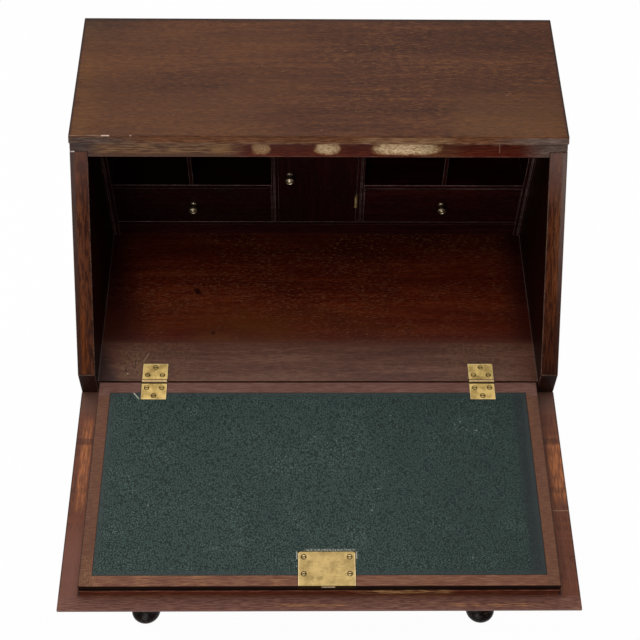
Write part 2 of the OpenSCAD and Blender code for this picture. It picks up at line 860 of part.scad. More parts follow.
module gallery_ends() {
    color(dark_mahogany) at_hinge() for (side = [0, 1]) mirror([side, 0, 0]) difference() {
        span([gallery_half, gallery_y, 0], [inner_half, gallery_back_y, under_z]);
        reed_groove(gallery_half, gallery_end_t);
    }
}

module gallery_partitions() {
    color(mahogany) at_hinge() for (side = [0, 1]) mirror([side, 0, 0]) difference() {
        span([partition_x, gallery_y, gallery_floor_z],
            [partition_x + partition_t, gallery_back_y - gallery_back_t, gallery_top_z]);
        reed_groove(partition_x, partition_t);
        if (side == 0) for (z = door_hinge_z)
            span([partition_x - run_out, gallery_y - run_out, z],
                [partition_x + door_leaf_t, gallery_y + door_leaf_d, z + door_hinge_h]);
    }
}

module gallery_shelves() {
    color(mahogany) at_hinge() for (side = [0, 1]) mirror([side, 0, 0])
        span([cell_x0, gallery_y, shelf_z],
            [gallery_half, gallery_back_y - gallery_back_t, shelf_z + shelf_t]);
}

module gallery_dividers() {
    color(mahogany) at_hinge() for (side = [0, 1]) mirror([side, 0, 0])
        span([cell_mid - divider_t / 2, gallery_y, shelf_z + shelf_t],
            [cell_mid + divider_t / 2, gallery_back_y - gallery_back_t, gallery_top_z]);
}

module gallery_top() {
    color(dark_mahogany) at_hinge() span([-gallery_half, gallery_y, gallery_top_z],
        [gallery_half, gallery_back_y - gallery_back_t, under_z]);
}

module gallery_back() {
    color(dark_mahogany) at_hinge() span([-gallery_half, gallery_back_y - gallery_back_t, 0],
        [gallery_half, gallery_back_y, under_z]);
}

// Cupboard door and its hinges

// Barrel stretch of a door hinge from share a to share b of its height
module door_barrel(a, b) {
    translate([door_pin_x, door_pin_y, a * door_hinge_h + knuckle_gap / 2])
        cylinder(h = (b - a) * door_hinge_h - knuckle_gap, r = door_barrel_r, $fn = small_fn);
}

// Plate of a door hinge between x0 and x1, with barrel stretches of the given shares
module door_hinge_half(x0, x1, shares) {
    span([x0, door_pin_y + door_leaf_notch, 0], [x1, gallery_y + door_leaf_d, door_hinge_h]);
    for (s = shares) {
        door_barrel(s[0], s[1]);
        span([x0, door_pin_y, s[0] * door_hinge_h + knuckle_gap / 2],
            [x1, door_pin_y + door_leaf_notch + run_out, s[1] * door_hinge_h - knuckle_gap / 2]);
    }
}

// Pin of a door hinge, grown by a gap
module door_pin(gap) {
    translate([door_pin_x, door_pin_y, 0])
        cylinder(h = door_hinge_h, r = door_pin_r + gap, $fn = small_fn);
}

module door_hinge_plates() {
    color(brass) at_hinge() for (z = door_hinge_z) translate([0, 0, z]) {
        door_hinge_half(partition_x, partition_x + door_leaf_t, [[0, 1 / 3], [2 / 3, 1]]);
        door_pin(0);
    }
}

module door_hinge_leaves() {
    color(brass) at_hinge() for (z = door_hinge_z) translate([0, 0, z]) difference() {
        door_hinge_half(door_edge_x - door_leaf_t, door_edge_x, [[1 / 3, 2 / 3]]);
        door_pin(pin_gap);
    }
}

module cupboard_door() {
    color(mahogany) at_hinge() difference() {
        span([door_edge_x - door_w, gallery_y, door_z0], [door_edge_x, gallery_y + door_t, door_z0 + door_h]);
        for (z = door_hinge_z)
            span([door_edge_x - door_leaf_t, gallery_y - run_out, z],
                [door_edge_x + run_out, gallery_y + door_leaf_d, z + door_hinge_h]);
        translate([door_knob_x, gallery_y, door_knob_z]) knob_hole(small_peg);
    }
}

module cupboard_knob() {
    color(brass) at_hinge() translate([door_knob_x, gallery_y, door_knob_z])
        front_knob(small_knob_r, small_peg);
}

// Small drawers

module small_drawer_front(side) {
    color(mahogany) at_hinge() translate([side * cell_mid, 0, 0]) difference() {
        span([-small_half, gallery_y, small_z0], [small_half, gallery_y + small_front_t, small_z0 + small_h]);
        translate([0, gallery_y, small_knob_z]) knob_hole(small_peg);
    }
}

module small_drawer_tray(side) {
    color(drawer_lining) at_hinge() translate([side * cell_mid, 0, 0]) difference() {
        span([-small_half, gallery_y + small_front_t, small_z0],
            [small_half, small_back_y, small_z0 + small_h - small_side_drop]);
        span([-small_half + small_side_t, gallery_y + small_front_t - run_out, small_z0 + small_bottom_t],
            [small_half - small_side_t, small_back_y - small_side_t, small_z0 + small_h]);
    }
}

module small_drawer_knob(side) {
    color(brass) at_hinge() translate([side * cell_mid, gallery_y, small_knob_z])
        front_knob(small_knob_r, small_peg);
}

module left_small_drawer_front() { small_drawer_front(-1); }
module right_small_drawer_front() { small_drawer_front(1); }
module left_small_drawer_tray() { small_drawer_tray(-1); }
module right_small_drawer_tray() { small_drawer_tray(1); }
module left_small_drawer_knob() { small_drawer_knob(-1); }
module right_small_drawer_knob() { small_drawer_knob(1); }

// Lopers, pulled out

module loper(side) {
    color(mahogany) translate([side * loper_x, 0, 0]) difference() {
        span([-loper_w / 2, front_y - loper_travel, opening_1_floor + fall_under_gap],
            [loper_w / 2, front_y - loper_travel + loper_len, opening_1_floor + fall_under_gap + loper_h]);
        translate([0, front_y - loper_travel, opening_1_floor + drawer_1_h / 2]) knob_hole(loper_peg);
    }
}

module loper_knob(side) {
    color(brass) translate([side * loper_x, front_y - loper_travel, opening_1_floor + drawer_1_h / 2])
        front_knob(small_knob_r, loper_peg);
}

module loper_left() { loper(-1); }
module loper_right() { loper(1); }
module loper_knob_left() { loper_knob(-1); }
module loper_knob_right() { loper_knob(1); }

// Long drawers: half width, floor and height of the opening

// Cock bead along an edge that lies on the X axis, mitred at both ends, with the front above it
module cock_bead(length) {
    inset = cock_bead_inset + cock_bead_w / 2;
    end = length / 2 - glue_line;
    intersection() {
        translate([0, cock_bead_w / 2 - cock_bead_out, inset]) rotate([0, 90, 0])
            cylinder(h = length, r = cock_bead_w / 2, center = true, $fn = turned_fn);
        rotate([90, 0, 0]) linear_extrude(4 * cock_bead_w, center = true) polygon([
            [-end, 0], [end, 0], [end - 2 * inset, 2 * inset], [-end + 2 * inset, 2 * inset]
        ]);
    }
}

// Dovetails that point along -Y from the X-Z plane, spread from z0 to z1 and grown by a gap
module dovetails(width, z0, z1, gap) {
    count = round((z1 - z0) / tail_pitch);
    pitch = (z1 - z0) / count;
    wide = pitch * tail_share / 2 + gap;
    narrow = wide - tail_len * tail_slope;
    for (k = [0 : count - 1]) translate([0, 0, z0 + (k + 0.5) * pitch]) rotate([90, 0, 90])
        linear_extrude(width) polygon([
            [run_out, -narrow], [0, -narrow], [-tail_len - gap, -wide],
            [-tail_len - gap, wide], [0, narrow], [run_out, narrow]
        ]);
}

// Dovetails of both sides of a drawer; a gap and a reach past the side make them the sockets
module drawer_tails(half, z, h, gap, reach) {
    z0 = z + drawer_lift + drawer_bottom_t + tail_margin;
    z1 = z + h - drawer_side_drop - tail_margin;
    for (side = [0, 1]) mirror([side, 0, 0])
        translate([half - run_gap - drawer_side_t - gap, front_y + front_t, 0])
            dovetails(drawer_side_t + gap + reach, z0, z1, gap);
}

module drawer_front(half, z, h) {
    z0 = z + fall_under_gap;
    z1 = z + h - run_gap;
    w = 2 * (half - run_gap);
    color(mahogany) difference() {
        union() {
            span([-w / 2, front_y, z0], [w / 2, front_y + front_t, z1]);
            translate([0, front_y, (z0 + z1) / 2]) for (turn = [0, 90, 180, 270]) {
                along = turn % 180 == 0 ? w : z1 - z0;
                across = turn % 180 == 0 ? z1 - z0 : w;
                rotate([0, turn, 0]) translate([0, 0, -across / 2]) cock_bead(along);
            }
        }
        drawer_tails(half, z, h, glue_line, run_out);
        for (side = [-1, 1]) translate([side * half * drawer_knob_share, front_y, z + h / 2])
            knob_hole(drawer_peg);
    }
}

// Two sides and a back, grooved for the bottom
module drawer_box(half, z, h) {
    y0 = front_y + front_t;
    y1 = front_y + drawer_len;
    top = z + h - drawer_side_drop;
    edge = half - run_gap;
    color(drawer_lining) {
        drawer_tails(half, z, h, 0, 0);
        for (side = [0, 1]) mirror([side, 0, 0]) difference() {
            span([edge - drawer_side_t, y0, z + fall_under_gap], [edge, y1, top]);
            span([0, y0 - run_out, z + drawer_lift], [edge - drawer_side_t + drawer_groove,
                y1 - drawer_side_t + drawer_groove, z + drawer_lift + drawer_bottom_t]);
        }
        span([-edge + drawer_side_t + glue_line, y1 - drawer_side_t, z + drawer_lift + drawer_bottom_t],
            [edge - drawer_side_t - glue_line, y1, top]);
    }
}

module drawer_bottom(half, z) {
    edge = half - run_gap - drawer_side_t + drawer_groove;
    color(drawer_lining) span([-edge, front_y + front_t, z + drawer_lift],
        [edge, front_y + drawer_len - drawer_side_t + drawer_groove, z + drawer_lift + drawer_bottom_t]);
}

module drawer_knobs(half, z, h) {
    color(brass) for (side = [-1, 1]) translate([side * half * drawer_knob_share, front_y, z + h / 2])
        front_knob(drawer_knob_r, drawer_peg);
}

module top_drawer_front() { drawer_front(top_drawer_half, opening_1_floor, drawer_1_h); }
module top_drawer_box() { drawer_box(top_drawer_half, opening_1_floor, drawer_1_h); }
module top_drawer_bottom() { drawer_bottom(top_drawer_half, opening_1_floor); }
module top_drawer_knobs() { drawer_knobs(top_drawer_half, opening_1_floor, drawer_1_h); }
module middle_drawer_front() { drawer_front(inner_half, opening_2_floor, drawer_2_h); }
module middle_drawer_box() { drawer_box(inner_half, opening_2_floor, drawer_2_h); }
module middle_drawer_bottom() { drawer_bottom(inner_half, opening_2_floor); }
module middle_drawer_knobs() { drawer_knobs(inner_half, opening_2_floor, drawer_2_h); }
module bottom_drawer_front() { drawer_front(inner_half, opening_3_floor, drawer_3_h); }
module bottom_drawer_box() { drawer_box(inner_half, opening_3_floor, drawer_3_h); }
module bottom_drawer_bottom() { drawer_bottom(inner_half, opening_3_floor); }
module bottom_drawer_knobs() { drawer_knobs(inner_half, opening_3_floor, drawer_3_h); }

top_board();
left_side();
right_side();
back_panel();
bed_rail();
bed_panel();
drawer_rails();
bottom_board();
loper_partitions();
drawer_runners();
base_moulding();
leg_front_left();
leg_front_right();
leg_back_left();
leg_back_right();
bed_hinge_leaves();
fall_hinge_pins();
bed_hinge_screws();
gallery_floor();
gallery_plinth();
gallery_ends();
gallery_partitions();
gallery_shelves();
gallery_dividers();
gallery_top();
gallery_back();
door_hinge_plates();
fall_board();
leather_panel();
fall_hinge_leaves();
fall_hinge_screws();
fall_lock();
lock_screws();
keyhole_liner();
lock_bolt();
loper_left();
loper_right();
loper_knob_left();
loper_knob_right();
top_drawer_front();
top_drawer_box();
top_drawer_bottom();
top_drawer_knobs();
middle_drawer_front();
middle_drawer_box();
middle_drawer_bottom();
middle_drawer_knobs();
bottom_drawer_front();
bottom_drawer_box();
bottom_drawer_bottom();
bottom_drawer_knobs();
left_small_drawer_front();
left_small_drawer_tray();
left_small_drawer_knob();
right_small_drawer_front();
right_small_drawer_tray();
right_small_drawer_knob();
cupboard_door();
door_hinge_leaves();
cupboard_knob();
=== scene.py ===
import json
import math

import bmesh
import bpy
from mathutils import Matrix, Vector


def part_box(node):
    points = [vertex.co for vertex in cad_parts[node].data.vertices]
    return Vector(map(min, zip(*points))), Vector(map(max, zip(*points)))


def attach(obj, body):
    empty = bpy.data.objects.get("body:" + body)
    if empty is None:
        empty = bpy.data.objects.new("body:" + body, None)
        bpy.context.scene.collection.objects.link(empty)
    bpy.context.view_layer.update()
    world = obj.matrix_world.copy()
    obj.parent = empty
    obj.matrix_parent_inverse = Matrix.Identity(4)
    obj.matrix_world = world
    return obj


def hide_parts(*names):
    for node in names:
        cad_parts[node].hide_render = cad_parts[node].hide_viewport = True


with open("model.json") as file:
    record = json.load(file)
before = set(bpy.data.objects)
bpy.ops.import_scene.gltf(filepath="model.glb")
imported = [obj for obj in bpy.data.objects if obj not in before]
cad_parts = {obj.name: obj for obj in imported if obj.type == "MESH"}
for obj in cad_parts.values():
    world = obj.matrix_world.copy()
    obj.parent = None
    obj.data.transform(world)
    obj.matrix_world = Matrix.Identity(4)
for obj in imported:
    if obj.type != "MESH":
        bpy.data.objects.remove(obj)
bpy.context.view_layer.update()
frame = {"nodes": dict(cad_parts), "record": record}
cadNodes = frame["nodes"]
bodyOfNode = {n: b for b, ns in frame["record"]["behaviour"]["bodies"].items() for n in ns}
scene = bpy.context.scene
print("frame loaded:", len(cadNodes), "nodes")

# the main levels and planes of the secretaire, in metres
hingeY = -0.04975
writingZ = 0.755
caseTop = writingZ + 0.25
frontY = -0.05425
slopeAngle = math.radians(48)
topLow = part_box("top_board")[0]

# half widths: the case outside and inside, the fall's raised field and the board between its flanks
caseHalf = 0.3050
innerHalf = 0.2834
fieldHalf = 0.2812
flankHalf = 0.2662

# where the brasses of the fall lie, because dirt, wear and painted shade follow them
screwHead = 0.0029
leafLow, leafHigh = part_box("fall_hinge_leaves")
hingeLeaf = {"half": 0.016, "middle": leafHigh.x - 0.016, "reach": hingeY - leafLow.y}
lockLow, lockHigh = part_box("fall_lock")
lockPlate = {"x": (lockLow.x + lockHigh.x) / 2, "half": (lockHigh.x - lockLow.x) / 2,
             "rear": lockHigh.y}
screwLow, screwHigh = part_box("lock_screws")
lockScrews = {"x": (screwHigh.x - screwLow.x) / 2 - screwHead, "low": screwLow.y + screwHead,
              "high": screwHigh.y - screwHead}


# a socket that does arithmetic, so shader maths reads as an expression
class Wire:
    def __init__(self, tree, socket=None):
        self.tree = tree
        self.socket = socket

    def make(self, kind, settings=None, sockets=None, output=0):
        node = self.tree.nodes.new(kind)
        for key, value in (settings or {}).items():
            if key == "stops":
                setStops(node.color_ramp, value)
            else:
                setattr(node, key, value)
        plug(node, sockets or {})
        return Wire(self.tree, node.outputs[output]) if node.outputs else None

    def outlets(self):
        return [Wire(self.tree, socket) for socket in self.socket.node.outputs]

    def maths(self, operation, first, second=0.0):
        return self.make("ShaderNodeMath", {"operation": operation}, {0: first, 1: second})

    def __add__(self, other):
        return self.maths("ADD", self, other)

    def __radd__(self, other):
        return self.maths("ADD", other, self)

    def __sub__(self, other):
        return self.maths("SUBTRACT", self, other)

    def __rsub__(self, other):
        return self.maths("SUBTRACT", other, self)

    def __mul__(self, other):
        return self.maths("MULTIPLY", self, other)

    def __rmul__(self, other):
        return self.maths("MULTIPLY", other, self)

    def __abs__(self):
        return self.maths("ABSOLUTE", self)

    def __pow__(self, other):
        return self.maths("POWER", self, other)

    def __gt__(self, other):
        return self.maths("GREATER_THAN", self, other)


def setStops(ramp, stops):
    while len(ramp.elements) < len(stops):
        ramp.elements.new(0.5)
    for element, (place, colour) in zip(ramp.elements, stops):
        element.position = place
        element.color = rgba(colour)


def plug(node, sockets):
    for key, value in sockets.items():
        if isinstance(value, Wire):
            value.tree.links.new(value.socket, node.inputs[key])
        else:
            node.inputs[key].default_value = value


def rgba(colour):
    return (*colour, 1.0)


def paint(under, over, amount):
    under, over = (tone if isinstance(tone, Wire) else rgba(tone) for tone in (under, over))
    return amount.make("ShaderNodeMix", {"data_type": "RGBA"}, {0: amount, 6: under, 7: over}, 2)


# coats of colour laid on in turn; a pair of tones comes with the mask that blends them
def layered(colour, tones, coats):
    for name, amount in coats.items():
        tone = tones[name]
        if isinstance(amount, tuple):
            amount, blend = amount
            tone = paint(*tone, blend)
        colour = paint(colour, tone, amount)
    return colour


def ease(value, low, high):
    return value.make("ShaderNodeMapRange", {"interpolation_type": "SMOOTHSTEP"},
                      {"Value": value, "From Min": low, "From Max": high})


def hump(value, middle, half, soft):
    return ease(abs(value - middle), half + soft, half)


def greatest(first, *others):
    for other in others:
        first = first.maths("MAXIMUM", first, other)
    return first


def split(place):
    return place.make("ShaderNodeSeparateXYZ", {}, {"Vector": place}).outlets()


def stretched(place, stretch, move=(0.0, 0.0, 0.0)):
    return place.make("ShaderNodeMapping", {}, {"Vector": place, "Scale": stretch, "Location": move})


def cloud(place, scale, detail=2.0, rough=0.5, twist=0.0):
    return place.make("ShaderNodeTexNoise", {}, {"Vector": place, "Scale": scale, "Detail": detail,
                                                 "Roughness": rough, "Distortion": twist})


# noise drawn out along x, as the grain of wood is
def fibres(place, length, scale, detail=2.0, rough=0.5, move=(0.0, 0.0, 0.0), twist=0.0):
    return cloud(stretched(place, (length, 1.0, 1.0), move), scale, detail, rough, twist)


def raised(height, distance, strength=1.0):
    return height.make("ShaderNodeBump", {},
                       {"Height": height, "Distance": distance, "Strength": strength})


def newFinish(name):
    material = bpy.data.materials.new(name)
    material.use_nodes = True
    tree = material.node_tree
    place = Wire(tree).make("ShaderNodeTexCoord", output="Object")
    return material, tree.nodes["Principled BSDF"], place


# distances square to the slope of the closed fall and along it, from the hinge
def slopeDepth(back, rise):
    return rise * math.cos(slopeAngle) - back * math.sin(slopeAngle)


def slopeReach(back, rise):
    return rise * math.sin(slopeAngle) + back * math.cos(slopeAngle)


# painted shade in the gaps round the hinge leaves and behind the lock plate
def besideBrass(x, y):
    plate = hump(x, lockPlate["x"], lockPlate["half"] + 0.0003, 0.0009) \
        * ease(y, lockPlate["rear"] + 0.0012, lockPlate["rear"] + 0.0003)
    leaf = hump(abs(x), hingeLeaf["middle"], hingeLeaf["half"] + 0.0003, 0.0009) \
        * hump(y, hingeY, hingeLeaf["reach"] + 0.0003, 0.0009)
    return greatest(plate, leaf)


# mahogany: each layer of its grain is a noise of this length, scale, detail, roughness and shift
grain = {"bend": (0.4, 7.0, 1.0), "figure": (0.10, 24.0, 3.0, 0.55), "streak": (0.035, 170.0, 3.0, 0.6),
         "fibre": (0.14, 560.0, 2.0, 0.6), "pores": (0.16, 760.0, 1.0, 0.5, (0.31, 0.17, 0.05)),
         "haze": (0.5, 9.0, 2.0), "ticks": (0.22, 500.0, 2.0, 0.6, (0.7, 0.2, 0.4)),
         "swing": 0.03, "height": 0.00022}
turns = {"x": (0.0, 0.0, 0.0), "y": (0.0, 0.0, math.radians(-90)), "z": (0.0, math.radians(90), 0.0)}


def woodColour(place, look, axis):
    run = place.make("ShaderNodeMapping", {}, {"Vector": place, "Rotation": turns[axis]})
    bend = fibres(run, *grain["bend"]) * grain["swing"]
    across = run.make("ShaderNodeVectorMath", {"operation": "ADD"},
                      {0: run, 1: bend.make("ShaderNodeCombineXYZ", {}, {1: bend, 2: bend})})
    figure, streak, fibre = (fibres(across, *grain[layer]) for layer in ("figure", "streak", "fibre"))
    pores = ease(fibres(run, *grain["pores"]), look["poreFrom"], look["poreFrom"] + 0.1)
    haze = ease(fibres(run, *grain["haze"]), 0.38, 0.66)
    ticks = ease(fibres(run, *grain["ticks"]), 0.56, 0.66)
    tone = figure * 0.34 + streak * 0.34 + fibre * 0.32
    stops = [(0.39, look["deep"]), (0.5, look["middle"]), (0.61, look["pale"])]
    colour = layered(tone.make("ShaderNodeValToRGB", {"stops": stops}, {0: tone}), look, {
        "deep": ticks * look["tickShow"],
        "pore": pores * (0.25 + 0.75 * haze) * look["poreShow"]})
    return colour, streak, fibre, pores


def makeWood(name, look, axis="x", extra=None, clamped=None):
    material, shader, place = newFinish(name)
    colour, streak, fibre, pores = woodColour(place, look, axis)
    if clamped:
        # the grain of the flanks runs across that of the board between them
        flanks = abs(split(place)[0]) > clamped
        other, *others = woodColour(place, look, "y")
        colour = paint(colour, other, flanks)
        streak, fibre, pores = (a + (b - a) * flanks for a, b in zip((streak, fibre, pores), others))
    gloss = look["rough"] + 0.16 * (streak - 0.5) + 0.10 * pores
    height = fibre * 0.3 + streak * 0.3 - pores * 0.6
    plug(shader, {"Base Color": colour, "Roughness": gloss, "Coat Weight": look["coat"],
                  "Coat Roughness": look["coatRough"], "Specular IOR Level": look["shine"],
                  "Normal": raised(height, grain["height"], look["relief"])})
    if extra:
        plug(shader, extra(place, colour, gloss))
    return material


caseLook = {"deep": (0.046, 0.011, 0.005), "middle": (0.080, 0.021, 0.009),
            "pale": (0.125, 0.042, 0.018), "pore": (0.30, 0.17, 0.085),
            "poreFrom": 0.56, "poreShow": 0.40, "tickShow": 0.6,
            "rough": 0.46, "coat": 0.0, "coatRough": 0.30, "shine": 0.15, "relief": 0.7}
topLook = dict(caseLook, deep=(0.034, 0.0085, 0.0028), middle=(0.072, 0.0200, 0.0066),
               pale=(0.122, 0.042, 0.0155), pore=(0.26, 0.125, 0.050), poreShow=0.36, shine=0.11)
fallLook = dict(caseLook, deep=(0.078, 0.020, 0.0095), middle=(0.130, 0.038, 0.019),
                pale=(0.185, 0.064, 0.034), poreShow=0.25)
bedLook = dict(caseLook, deep=(0.044, 0.0038, 0.0014), middle=(0.080, 0.0085, 0.0026),
               pale=(0.130, 0.022, 0.006), pore=(0.26, 0.13, 0.06), poreShow=0.30,
               rough=0.36, shine=0.05, coatRough=0.32)
# the rail: a lighter, greyer copy of the bed's mahogany, painted light for the lit front strip and its
# sheen
railLook = dict(caseLook, deep=(0.062, 0.019, 0.010), middle=(0.102, 0.036, 0.020),
                pale=(0.155, 0.066, 0.040), poreShow=0.22, rough=0.36, shine=0.05, coatRough=0.32)
# the inside of the desk: a near-black copy of the case mahogany, painted shade for the dark under the
# top
darkLook = dict(caseLook, deep=(0.006, 0.0008, 0.0006), middle=(0.012, 0.0012, 0.0010),
                pale=(0.022, 0.0028, 0.0020), pore=(0.03, 0.010, 0.008), poreShow=0.25, rough=0.32)
galleryLook = dict(darkLook, deep=(0.007, 0.0007, 0.0006), middle=(0.014, 0.0012, 0.0010),
                   pale=(0.026, 0.0030, 0.0022))
frontLook = dict(caseLook, deep=(0.044, 0.0095, 0.0045), middle=(0.078, 0.0185, 0.0085),
                 pale=(0.120, 0.037, 0.017), rough=0.36, coat=0.15, coatRough=0.2)
liningLook = {"deep": (0.20, 0.105, 0.045), "middle": (0.31, 0.175, 0.08), "pale": (0.41, 0.25, 0.125),
              "pore": (0.13, 0.065, 0.03), "poreFrom": 0.58, "poreShow": 0.5, "tickShow": 0.3,
              "rough": 0.6, "coat": 0.0, "coatRough": 0.3, "shine": 0.35, "relief": 1.0}
# the legs: near black as painted shade under the desk, though they are of the case's mahogany
legLook = dict(darkLook, deep=(0.003, 0.0014, 0.0012), middle=(0.006, 0.0026, 0.0022),
               pale=(0.012, 0.0050, 0.0038), rough=0.24, coat=0.0, coatRough=0.15)
sideLook = dict(caseLook, shine=0.06)
sideEdgeLook = dict(caseLook, deep=(0.040, 0.017, 0.011), middle=(0.075, 0.036, 0.025),
                    pale=(0.130, 0.070, 0.050))
# the arrises inside the desk show as pale lines: partly dust and thin polish, partly a painted
# highlight where they catch the light
arrisLook = dict(caseLook, deep=(0.026, 0.014, 0.012), middle=(0.075, 0.046, 0.039),
                 pale=(0.20, 0.13, 0.11), pore=(0.02, 0.008, 0.006), poreShow=0.5, rough=0.5)


# eased edges are handled more, so they are paler and duller than the faces
def edgeLook(look):
    lifts = {"deep": 1.3, "middle": 1.4, "pale": 1.4}
    lifted = {key: tuple(min(1.0, v * lift) for v in look[key]) for key, lift in lifts.items()}
    return dict(look, rough=look["rough"] + 0.04, **lifted)


topTones = {
    "sunned": (0.165, 0.068, 0.014), "warm": (0.125, 0.046, 0.015), "dusk": (0.026, 0.013, 0.010),
    "dry": (0.150, 0.064, 0.022), "brink": (0.024, 0.012, 0.009), "specks": (0.34, 0.21, 0.12),
    "furrows": (0.030, 0.0070, 0.0022), "crests": (0.200, 0.078, 0.030), "joint": (0.030, 0.015, 0.011),
    "nosing": ((0.098, 0.031, 0.011), (0.218, 0.090, 0.038)),
    "rebate": ((0.062, 0.0045, 0.0006), (0.112, 0.0160, 0.0030)),
    "leftRub": ((0.092, 0.042, 0.021), (0.325, 0.172, 0.076)),
    "stained": (0.27, 0.125, 0.042), "bare": ((0.40, 0.225, 0.100), (1.0, 0.76, 0.46)),
    "aboveBare": (0.290, 0.165, 0.082), "scratch": (0.48, 0.33, 0.24), "lowerArrisHighlight": (0.30, 0.19, 0.12),
    "golden": (0.170, 0.075, 0.028), "dull": ((0.050, 0.032, 0.027), (0.115, 0.082, 0.066)),
    "dusty": ((0.105, 0.070, 0.056), (0.205, 0.142, 0.118)), "bruise": (0.036, 0.014, 0.007),
    "chips": (0.60, 0.45, 0.34), "brow": (0.150, 0.072, 0.052)}

# patches where the lips of the fall have rubbed the finish off the rebate under the nosing, painted so
# pale that they are partly a painted reflection: middle, half width and how bare each is
rubbed = {"fade": 0.008, "reach": 0.2990, "height": 0.0080, "ragged": 1.7, "outer": 1.45,
          "inner": -0.15, "patches": [(-0.121, 0.008, 0.28), (-0.0712, 0.0045, 0.46),
                                      (0.010, 0.009, 0.70), (0.107, 0.036, 1.0)]}


# the upper face: sunned at the left end, darker at the back and in the back corners
def upperFaceCoats(place, x, y, z):
    onTop = ease(z, caseTop - 0.0008, caseTop - 0.0004)
    sunned = ease(x, -0.255, -0.298) * ease(cloud(place, 13.0, 3.0), 0.30, 0.62)
    sheen = ease(fibres(place, 0.12, 210.0, 3.0, 0.6), 0.36, 0.62)
    warm = ease(fibres(place, 0.5, 6.5, 3.0, 0.5, (0.4, 0.1, 0.0)), 0.44, 0.66)
    specks = ease(fibres(place, 0.7, 330.0, 1.0), 0.785, 0.825)
    ridges = fibres(place, 0.18, 620.0, 3.0, 0.6, (0.9, 0.5, 0.1))
    return {
        "sunned": sunned * onTop * (0.15 + 0.6 * sheen),
        "warm": warm * onTop * 0.45,
        "dusk": ease(y - x * 0.55, 0.430, 0.515) * onTop * 0.60,
        "dry": hump(x, 0.235, 0.045, 0.05) * ease(y, hingeY + 0.290, hingeY + 0.215) * onTop * 0.50,
        "brink": ease(y, hingeY + 0.3960, hingeY + 0.4010) * onTop * 0.8,
        "specks": specks * onTop * 0.6,
        "furrows": ease(ridges, 0.52, 0.40) * onTop * 0.26,
        "crests": ease(ridges, 0.54, 0.66) * onTop * 0.22,
        "joint": ease(abs(x), 0.3005, 0.3035) * onTop * 0.8}


def wornAndReflectingPatches(place, x, reach):
    ragged = fibres(place, 0.6, 260.0, 4.0, 0.7) * rubbed["ragged"] - rubbed["ragged"] / 2
    up = (reach - rubbed["reach"]) * (1.0 / rubbed["height"])
    wornAndReflecting = []
    for middle, half, share in rubbed["patches"]:
        along = (x - middle) * (1.0 / (half + rubbed["fade"]))
        blot = along * along * along * along + up * up + ragged
        wornAndReflecting.append(ease(blot, rubbed["outer"], rubbed["inner"]) * share)
    return sum(wornAndReflecting[1:], wornAndReflecting[0])


def topExtra(place, colour, gloss):
    x, y, z = split(place)
    back, rise = y - hingeY, z - writingZ
    depth, reach = slopeDepth(back, rise), slopeReach(back, rise)
    # the nosing's front, and the rebate under it against which the fall closes
    belowArris = ease(z, caseTop - 0.0008, caseTop - 0.0018)
    nose = ease(depth, 0.0222, 0.0232) * ease(reach, 0.2990, 0.3010) * belowArris
    rebate = ease(depth, 0.0212, 0.0196) * ease(depth, 0.0155, 0.0167) * ease(reach, 0.285, 0.288) \
        * ease(z, caseTop - 0.0080, caseTop - 0.0100)
    streaks = ease(fibres(place, 0.10, 680.0, 3.0, 0.6), 0.40, 0.64)
    hairs = ease(fibres(place, 0.06, 900.0, 3.0, 0.65, (0.5, 0.0, 0.2)), 0.40, 0.62)
    scrape = ease(fibres(place, 0.36, 760.0, 4.0, 0.7, twist=0.5), 0.34, 0.64)
    wornAndReflecting = rebate * wornAndReflectingPatches(place, x, reach)
    # both ends of the nosing are dull, the right one pale with dust
    dull = ease(x, -0.190, -0.275) * nose + ease(x, -0.262, -0.290) * rebate
    dusty = ease(x, 0.195, 0.275) * nose + ease(x, 0.240, 0.285) * rebate
    # bruises: a dark line along the front arris, bare wood where it is chipped
    onNosing = ease(depth, 0.0222, 0.0228)
    arrisReach = 0.3146
    bruise = hump(reach, arrisReach, 0.0010, 0.0012) * onNosing * hump(x, -0.02, 0.20, 0.05)
    chips = hump(x, -0.2600, 0.0042, 0.0012) + hump(x, -0.2294, 0.0008, 0.0008) * 0.5 \
        + hump(x, -0.2870, 0.0190, 0.0060) * hairs * 0.35
    # a painted highlight along the nosing's lower arris
    lowerArrisHighlight = hump(reach, 0.3050, 0.0009, 0.0012) * ease(depth, 0.0165, 0.0175) * belowArris
    brow = ease(z, topLow.z + 0.0014, topLow.z + 0.0006) * ease(depth, 0.0148, 0.0160)
    colour = layered(colour, topTones, {
        **upperFaceCoats(place, x, y, z),
        "nosing": (nose * 0.8, streaks),
        "rebate": (rebate * 0.95, streaks),
        "leftRub": (hump(x, -0.190, 0.072, 0.035) * rebate * 0.85, hairs * ease(reach, 0.2900, 0.2970)),
        "stained": ease(wornAndReflecting, 0.02, 0.40) * 0.7,
        # the bare wood is painted up to near white: wear with a painted reflection on it
        "bare": (ease(wornAndReflecting, 0.18, 0.90) * 0.95, scrape),
        "aboveBare": nose * hump(x, 0.107, 0.046, 0.02) * (0.3 + 0.7 * streaks) * 0.75,
        "scratch": hump(x, 0.2210, 0.0003, 0.0004) * rebate * ease(reach, 0.2935, 0.2950) * 0.32,
        "lowerArrisHighlight": lowerArrisHighlight * streaks * 0.55,
        "golden": hump(x, 0.147, 0.010, 0.025) * rebate * (0.4 + 0.6 * streaks) * 0.5,
        "dull": (dull * 0.80, streaks),
        "dusty": (dusty * 0.85, streaks),
        "bruise": bruise * streaks * 0.7,
        "chips": hump(reach, arrisReach, 0.0004, 0.0006) * onNosing * chips,
        "brow": brow * (0.3 + 0.7 * streaks) * 0.6})
    return {"Base Color": colour, "Roughness": gloss - rebate * 0.16 + wornAndReflecting * 0.3}


